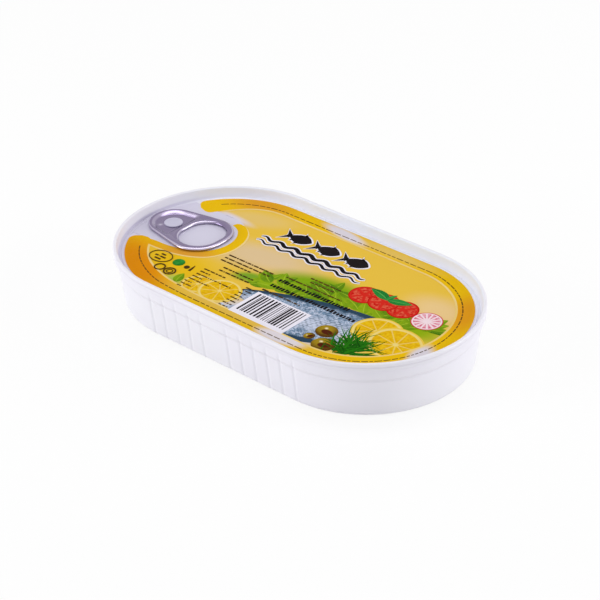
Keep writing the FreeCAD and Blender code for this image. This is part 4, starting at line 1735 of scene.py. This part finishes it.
FIELD_INK = Washes("field_ink", mottling=0.05, base=ink(228, 188, 66), washes=(
    (ink(219, 191, 146), (-18.0, 3.0), (34.0, 13.0), 12.0, 0.8),
    (ink(224, 190, 108), (-38.0, 22.0), (22.0, 8.0), 20.0, 0.8),
    (ink(230, 196, 136), (52.0, 14.0), (18.0, 12.0), 0.0, 0.8),
    (ink(228, 188, 66), (10.0, 25.0), (34.0, 8.0), 0.0, 0.8),
    (ink(228, 184, 24), (-38.0, -20.0), (24.0, 13.0), 0.0, 0.7),
    (ink(216, 208, 220), (-46.0, 17.4), (14.0, 3.0), -2.0, 0.9),
    (ink(226, 176, 30), (-22.0, -25.0), (12.0, 10.0), 0.0, 0.8),
    (ink(120, 160, 40), (-12.0, -10.0), (9.0, 4.5), 20.0, 0.7),
    (ink(124, 162, 16), (12.0, -1.0), (26.0, 11.5), 12.0, 0.6),
    (ink(138, 168, 12), (46.0, 0.0), (24.0, 9.5), 0.0, 0.6),
    (ink(170, 190, 80), (-31.0, -28.0), (6.0, 5.0), 0.0, 0.8),
    (ink(206, 206, 222), (18.0, -25.0), (34.0, 10.0), 8.0, 0.5)))
BAND_INK = Washes("gold_band_ink", roughness=0.28, mottling=0.05, base=ink(230, 184, 8), washes=(
    (ink(222, 182, 76), (0.0, -31.5), (60.0, 3.5), 0.0, 0.9),
    (ink(224, 188, 92), (16.0, 34.0), (30.0, 4.0), 0.0, 0.9),
    (ink(217, 152, 36), (-44.0, 31.0), (22.0, 10.0), 10.0, 0.9),
    (ink(222, 152, 24), (60.0, 18.0), (9.0, 18.0), 20.0, 0.8),
    (ink(221, 138, 4), (-48.0, -28.0), (32.0, 14.0), -30.0, 0.8),
    (ink(216, 152, 48), (-40.0, -12.5), (20.0, 9.0), 20.0, 0.9),
    (ink(216, 209, 218), (-6.0, 33.6), (14.0, 3.6), -8.0, 0.6),
    (ink(216, 209, 218), (65.0, -12.0), (5.0, 9.5), 14.0, 0.6),
    (ink(222, 214, 220), (22.5, -32.4), (12.5, 4.0), 6.0, 0.5)))
CREAM_INK = Plain("cream_line_ink", base=ink(234, 208, 140), drift=ink(230, 200, 120))
LEAF_INK = LeafInk("leaf_ink", dark=ink(60, 112, 8), light=ink(138, 170, 16),
                   vein=ink(160, 186, 44))
FISH_INK = FishInk("herring_ink", back=ink(42, 66, 88), side=ink(116, 142, 170),
                   belly=ink(196, 204, 224))
LEMON_INK = SliceInk("lemon_ink", rind=ink(228, 192, 70), pith=ink(232, 208, 124),
                     flesh=ink(218, 166, 8), glow=ink(232, 192, 24), wall=0.035,
                     wall_share=0.6)
TOMATO_INK = SliceInk("tomato_ink", rind=ink(184, 10, 10), pith=ink(208, 40, 28),
                      flesh=ink(196, 16, 12), glow=ink(224, 104, 76), sectors=5.0, wall=0.14)
RADISH_INK = SliceInk("radish_ink", rind=ink(200, 18, 52), pith=ink(238, 216, 222),
                      flesh=ink(226, 160, 176), glow=ink(206, 70, 100), sectors=14.0, wall=0.09)
SPRIG_INK = LeafInk("sprig_ink", dark=ink(4, 100, 36), light=ink(40, 146, 62),
                    vein=ink(96, 176, 84))
BERRY_INK = BeadInk("berry_ink", dark=ink(84, 52, 8), light=ink(158, 130, 28),
                    shine=ink(232, 214, 170), hollow=ink(80, 30, 10))
CHIVE_INK = ToneInk("chive_ink", dark=ink(0, 52, 0), light=ink(40, 124, 14))
BLACK_INK = Plain("black_ink", base=ink(14, 10, 14), drift=ink(26, 20, 22))
SEPIA_INK = Plain("fine_mark_ink", base=ink(62, 44, 18), drift=ink(92, 66, 26))
WHITE_INK = Plain("white_ink", base=ink(236, 232, 242), drift=ink(232, 228, 240))
GREEN_INK = Plain("green_dot_ink", base=ink(12, 112, 30), drift=ink(60, 150, 60),
                  grain=3.0)
# Its bright tint, laid on by the tone, is partly edge wear and partly painted highlight.
TAB_METAL = Metal("ring_pull_aluminium", roughness=0.24, mottling=0.1, metallic=1.0, peel=0.1,
                  group=Shared.SCUFF, base=ink(126, 114, 144), lines=ink(136, 124, 154),
                  bright=ink(196, 188, 208))


# ---------------------------------------------------------------- studio

WHITE = (1.0, 1.0, 1.0)
PALE = (0.95, 0.95, 0.95)
FLOOR_HALF = 1500.0  # millimetres, as new_mesh takes them
FLOOR_LEVEL = -0.02  # just under the base, so that the two never coincide
GLOW_SHARE = 0.85
SENSOR_WIDTH = 36.0
CLIP = (0.05, 20.0)


@dataclass(frozen=True)
class Lamp:
    """Soft lamp: its place, its width and height, and its power in watts."""

    place: tuple[float, float, float]
    size: Span
    power: float


@dataclass(frozen=True)
class Studio:
    """Pale floor, soft lamps and the camera."""

    target: tuple[float, float, float] = (0.0, 0.0, 0.0112)
    azimuth: float = 42.73
    elevation: float = 30.92
    roll: float = -1.45
    distance: float = 0.6908
    lens: float = 119.3
    shift: Span = (0.0077, -0.0068)
    fill: float = 0.54
    lamps: tuple[Lamp, ...] = (
        Lamp((-0.10, 0.11, 0.95), (1.2, 0.28), 2.8),
        Lamp((-0.55, -0.78, 0.3), (0.5, 0.5), 3.9),
        Lamp((0.78, 0.55, 0.3), (0.5, 0.5), 3.9))

    def seen(self, graph: Graph) -> Value:
        """1 for a ray from the camera or from a shiny surface, else 0."""
        rays = graph.node("ShaderNodeLightPath")
        return graph.math("MAXIMUM", graph.read(rays, "Is Camera Ray"),
                          graph.read(rays, "Is Glossy Ray"))

    def floor(self) -> None:
        """Large pale floor that shows white and keeps the tin's shadow."""
        u, v = unit_grid(2, 2)
        corners = np.stack([2 * u - 1, 2 * v - 1, 0 * u], -1).reshape(-1, 3) * FLOOR_HALF
        corners[:, 2] = FLOOR_LEVEL
        mesh = new_mesh("floor", corners, grid_faces(2, 2, False, False))
        made = bpy.data.materials.new("pale_floor")
        made.use_nodes = True
        graph = Graph(made.node_tree)
        blend = graph.node("ShaderNodeMixShader", Fac=self.seen(graph) * GLOW_SHARE)
        for socket, kind, tint in ((blend.inputs[1], "ShaderNodeBsdfDiffuse", PALE),
                                   (blend.inputs[2], "ShaderNodeEmission", WHITE)):
            graph.feed(socket, graph.read(graph.node(kind, Color=tint)))
        graph.node("ShaderNodeOutputMaterial", Surface=graph.read(blend))
        mesh.materials.append(made)
        plane = placed("floor", mesh)

    def sky(self) -> None:
        """Even white surroundings, seen at full strength and lighting at fill."""
        world = bpy.data.worlds.new("studio")
        world.use_nodes = True
        graph = Graph(world.node_tree)
        light = graph.node("ShaderNodeBackground", Color=WHITE,
                           Strength=self.seen(graph) * (1.0 - self.fill) + self.fill)
        graph.node("ShaderNodeOutputWorld", Surface=graph.read(light))
        bpy.context.scene.world = world

    def pose(self, place: Vector, across: Vector) -> Matrix:
        """Pose at place that looks at the target, with its x axis along across."""
        back = (place - Vector(self.target)).normalized()
        right = (across - across.dot(back) * back).normalized()
        up = back.cross(right)
        return Matrix(((right.x, up.x, back.x, place.x), (right.y, up.y, back.y, place.y),
                       (right.z, up.z, back.z, place.z), (0.0, 0.0, 0.0, 1.0)))

    @property
    def level(self) -> Vector:
        """Level direction to the right of the view."""
        swing = math.radians(self.azimuth)
        return Vector((math.cos(swing), math.sin(swing), 0.0))

    def light(self) -> None:
        """Soft lamps that face the tin, each wide along the level direction."""
        for count, lamp in enumerate(self.lamps):
            made = bpy.data.lights.new(f"soft_lamp_{count}", "AREA")
            made.shape = "RECTANGLE"
            made.size, made.size_y = lamp.size
            made.energy = lamp.power
            placed(made.name, made).matrix_world = self.pose(Vector(lamp.place), self.level)

    def camera(self) -> None:
        """Camera on a sphere round the target, rolled about its own axis."""
        swing, rise, tilt = (math.radians(a) for a in (self.azimuth, self.elevation, self.roll))
        back = Vector((math.sin(swing) * math.cos(rise), -math.cos(swing) * math.cos(rise),
                       math.sin(rise)))
        across = math.cos(tilt) * self.level + math.sin(tilt) * back.cross(self.level)
        lens = bpy.data.cameras.new("camera")
        lens.lens = self.lens
        lens.sensor_width = SENSOR_WIDTH
        lens.shift_x, lens.shift_y = self.shift
        lens.clip_start, lens.clip_end = CLIP
        holder = placed("camera", lens)
        holder.matrix_world = self.pose(Vector(self.target) + self.distance * back, across)
        bpy.context.scene.camera = holder

    def build(self) -> None:
        """Set up the whole studio."""
        bpy.context.scene.view_settings.view_transform = "Standard"
        self.floor()
        self.sky()
        self.light()
        self.camera()


def main() -> None:
    """Build and dress the tin piece by piece."""
    logging.basicConfig(level=logging.INFO, format="%(name)s: %(message)s")
    places = TinPlaces.read()
    Studio().build()
    for piece, slot, finish, node in (
            (TinBody(places), "body_lacquer", BODY_LACQUER, "can_body"),
            (TinLid(places), "lid_lacquer", LID_LACQUER, "lid_end"),
            (RingPull(places), "tab_metal", TAB_METAL, "pull_tab"),
            (RivetHead(places), "rivet_metal", RIVET_LACQUER, "rivet")):
        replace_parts(dressed(piece.build(), finish), node)
    lid = LidPrint(places)
    title_edge, title = lid.title()
    block, bars = lid.striped_block()
    for printed, finish in (
            (lid.field(), FIELD_INK), (lid.bare(), BARE_LACQUER), (lid.band(), BAND_INK),
            (lid.cream_lines(), CREAM_INK), (lid.leaves(), LEAF_INK), (lid.fishes(), FISH_INK),
            (lid.rounds(LEMONS), LEMON_INK), (lid.rounds(TOMATOES), TOMATO_INK),
            (lid.rounds(RADISH), RADISH_INK), (lid.sprig(), SPRIG_INK),
            (lid.rounds(BERRIES), BERRY_INK), (lid.chives(), CHIVE_INK),
            (title_edge, WHITE_INK), (title, BLACK_INK), (block, WHITE_INK), (bars, BLACK_INK),
            (lid.bold_marks(), BLACK_INK), (lid.fine_marks(), SEPIA_INK),
            (lid.rounds(GREEN_DOT), GREEN_INK)):
        dressed(printed, finish)


if __name__ == "__main__":
    main()
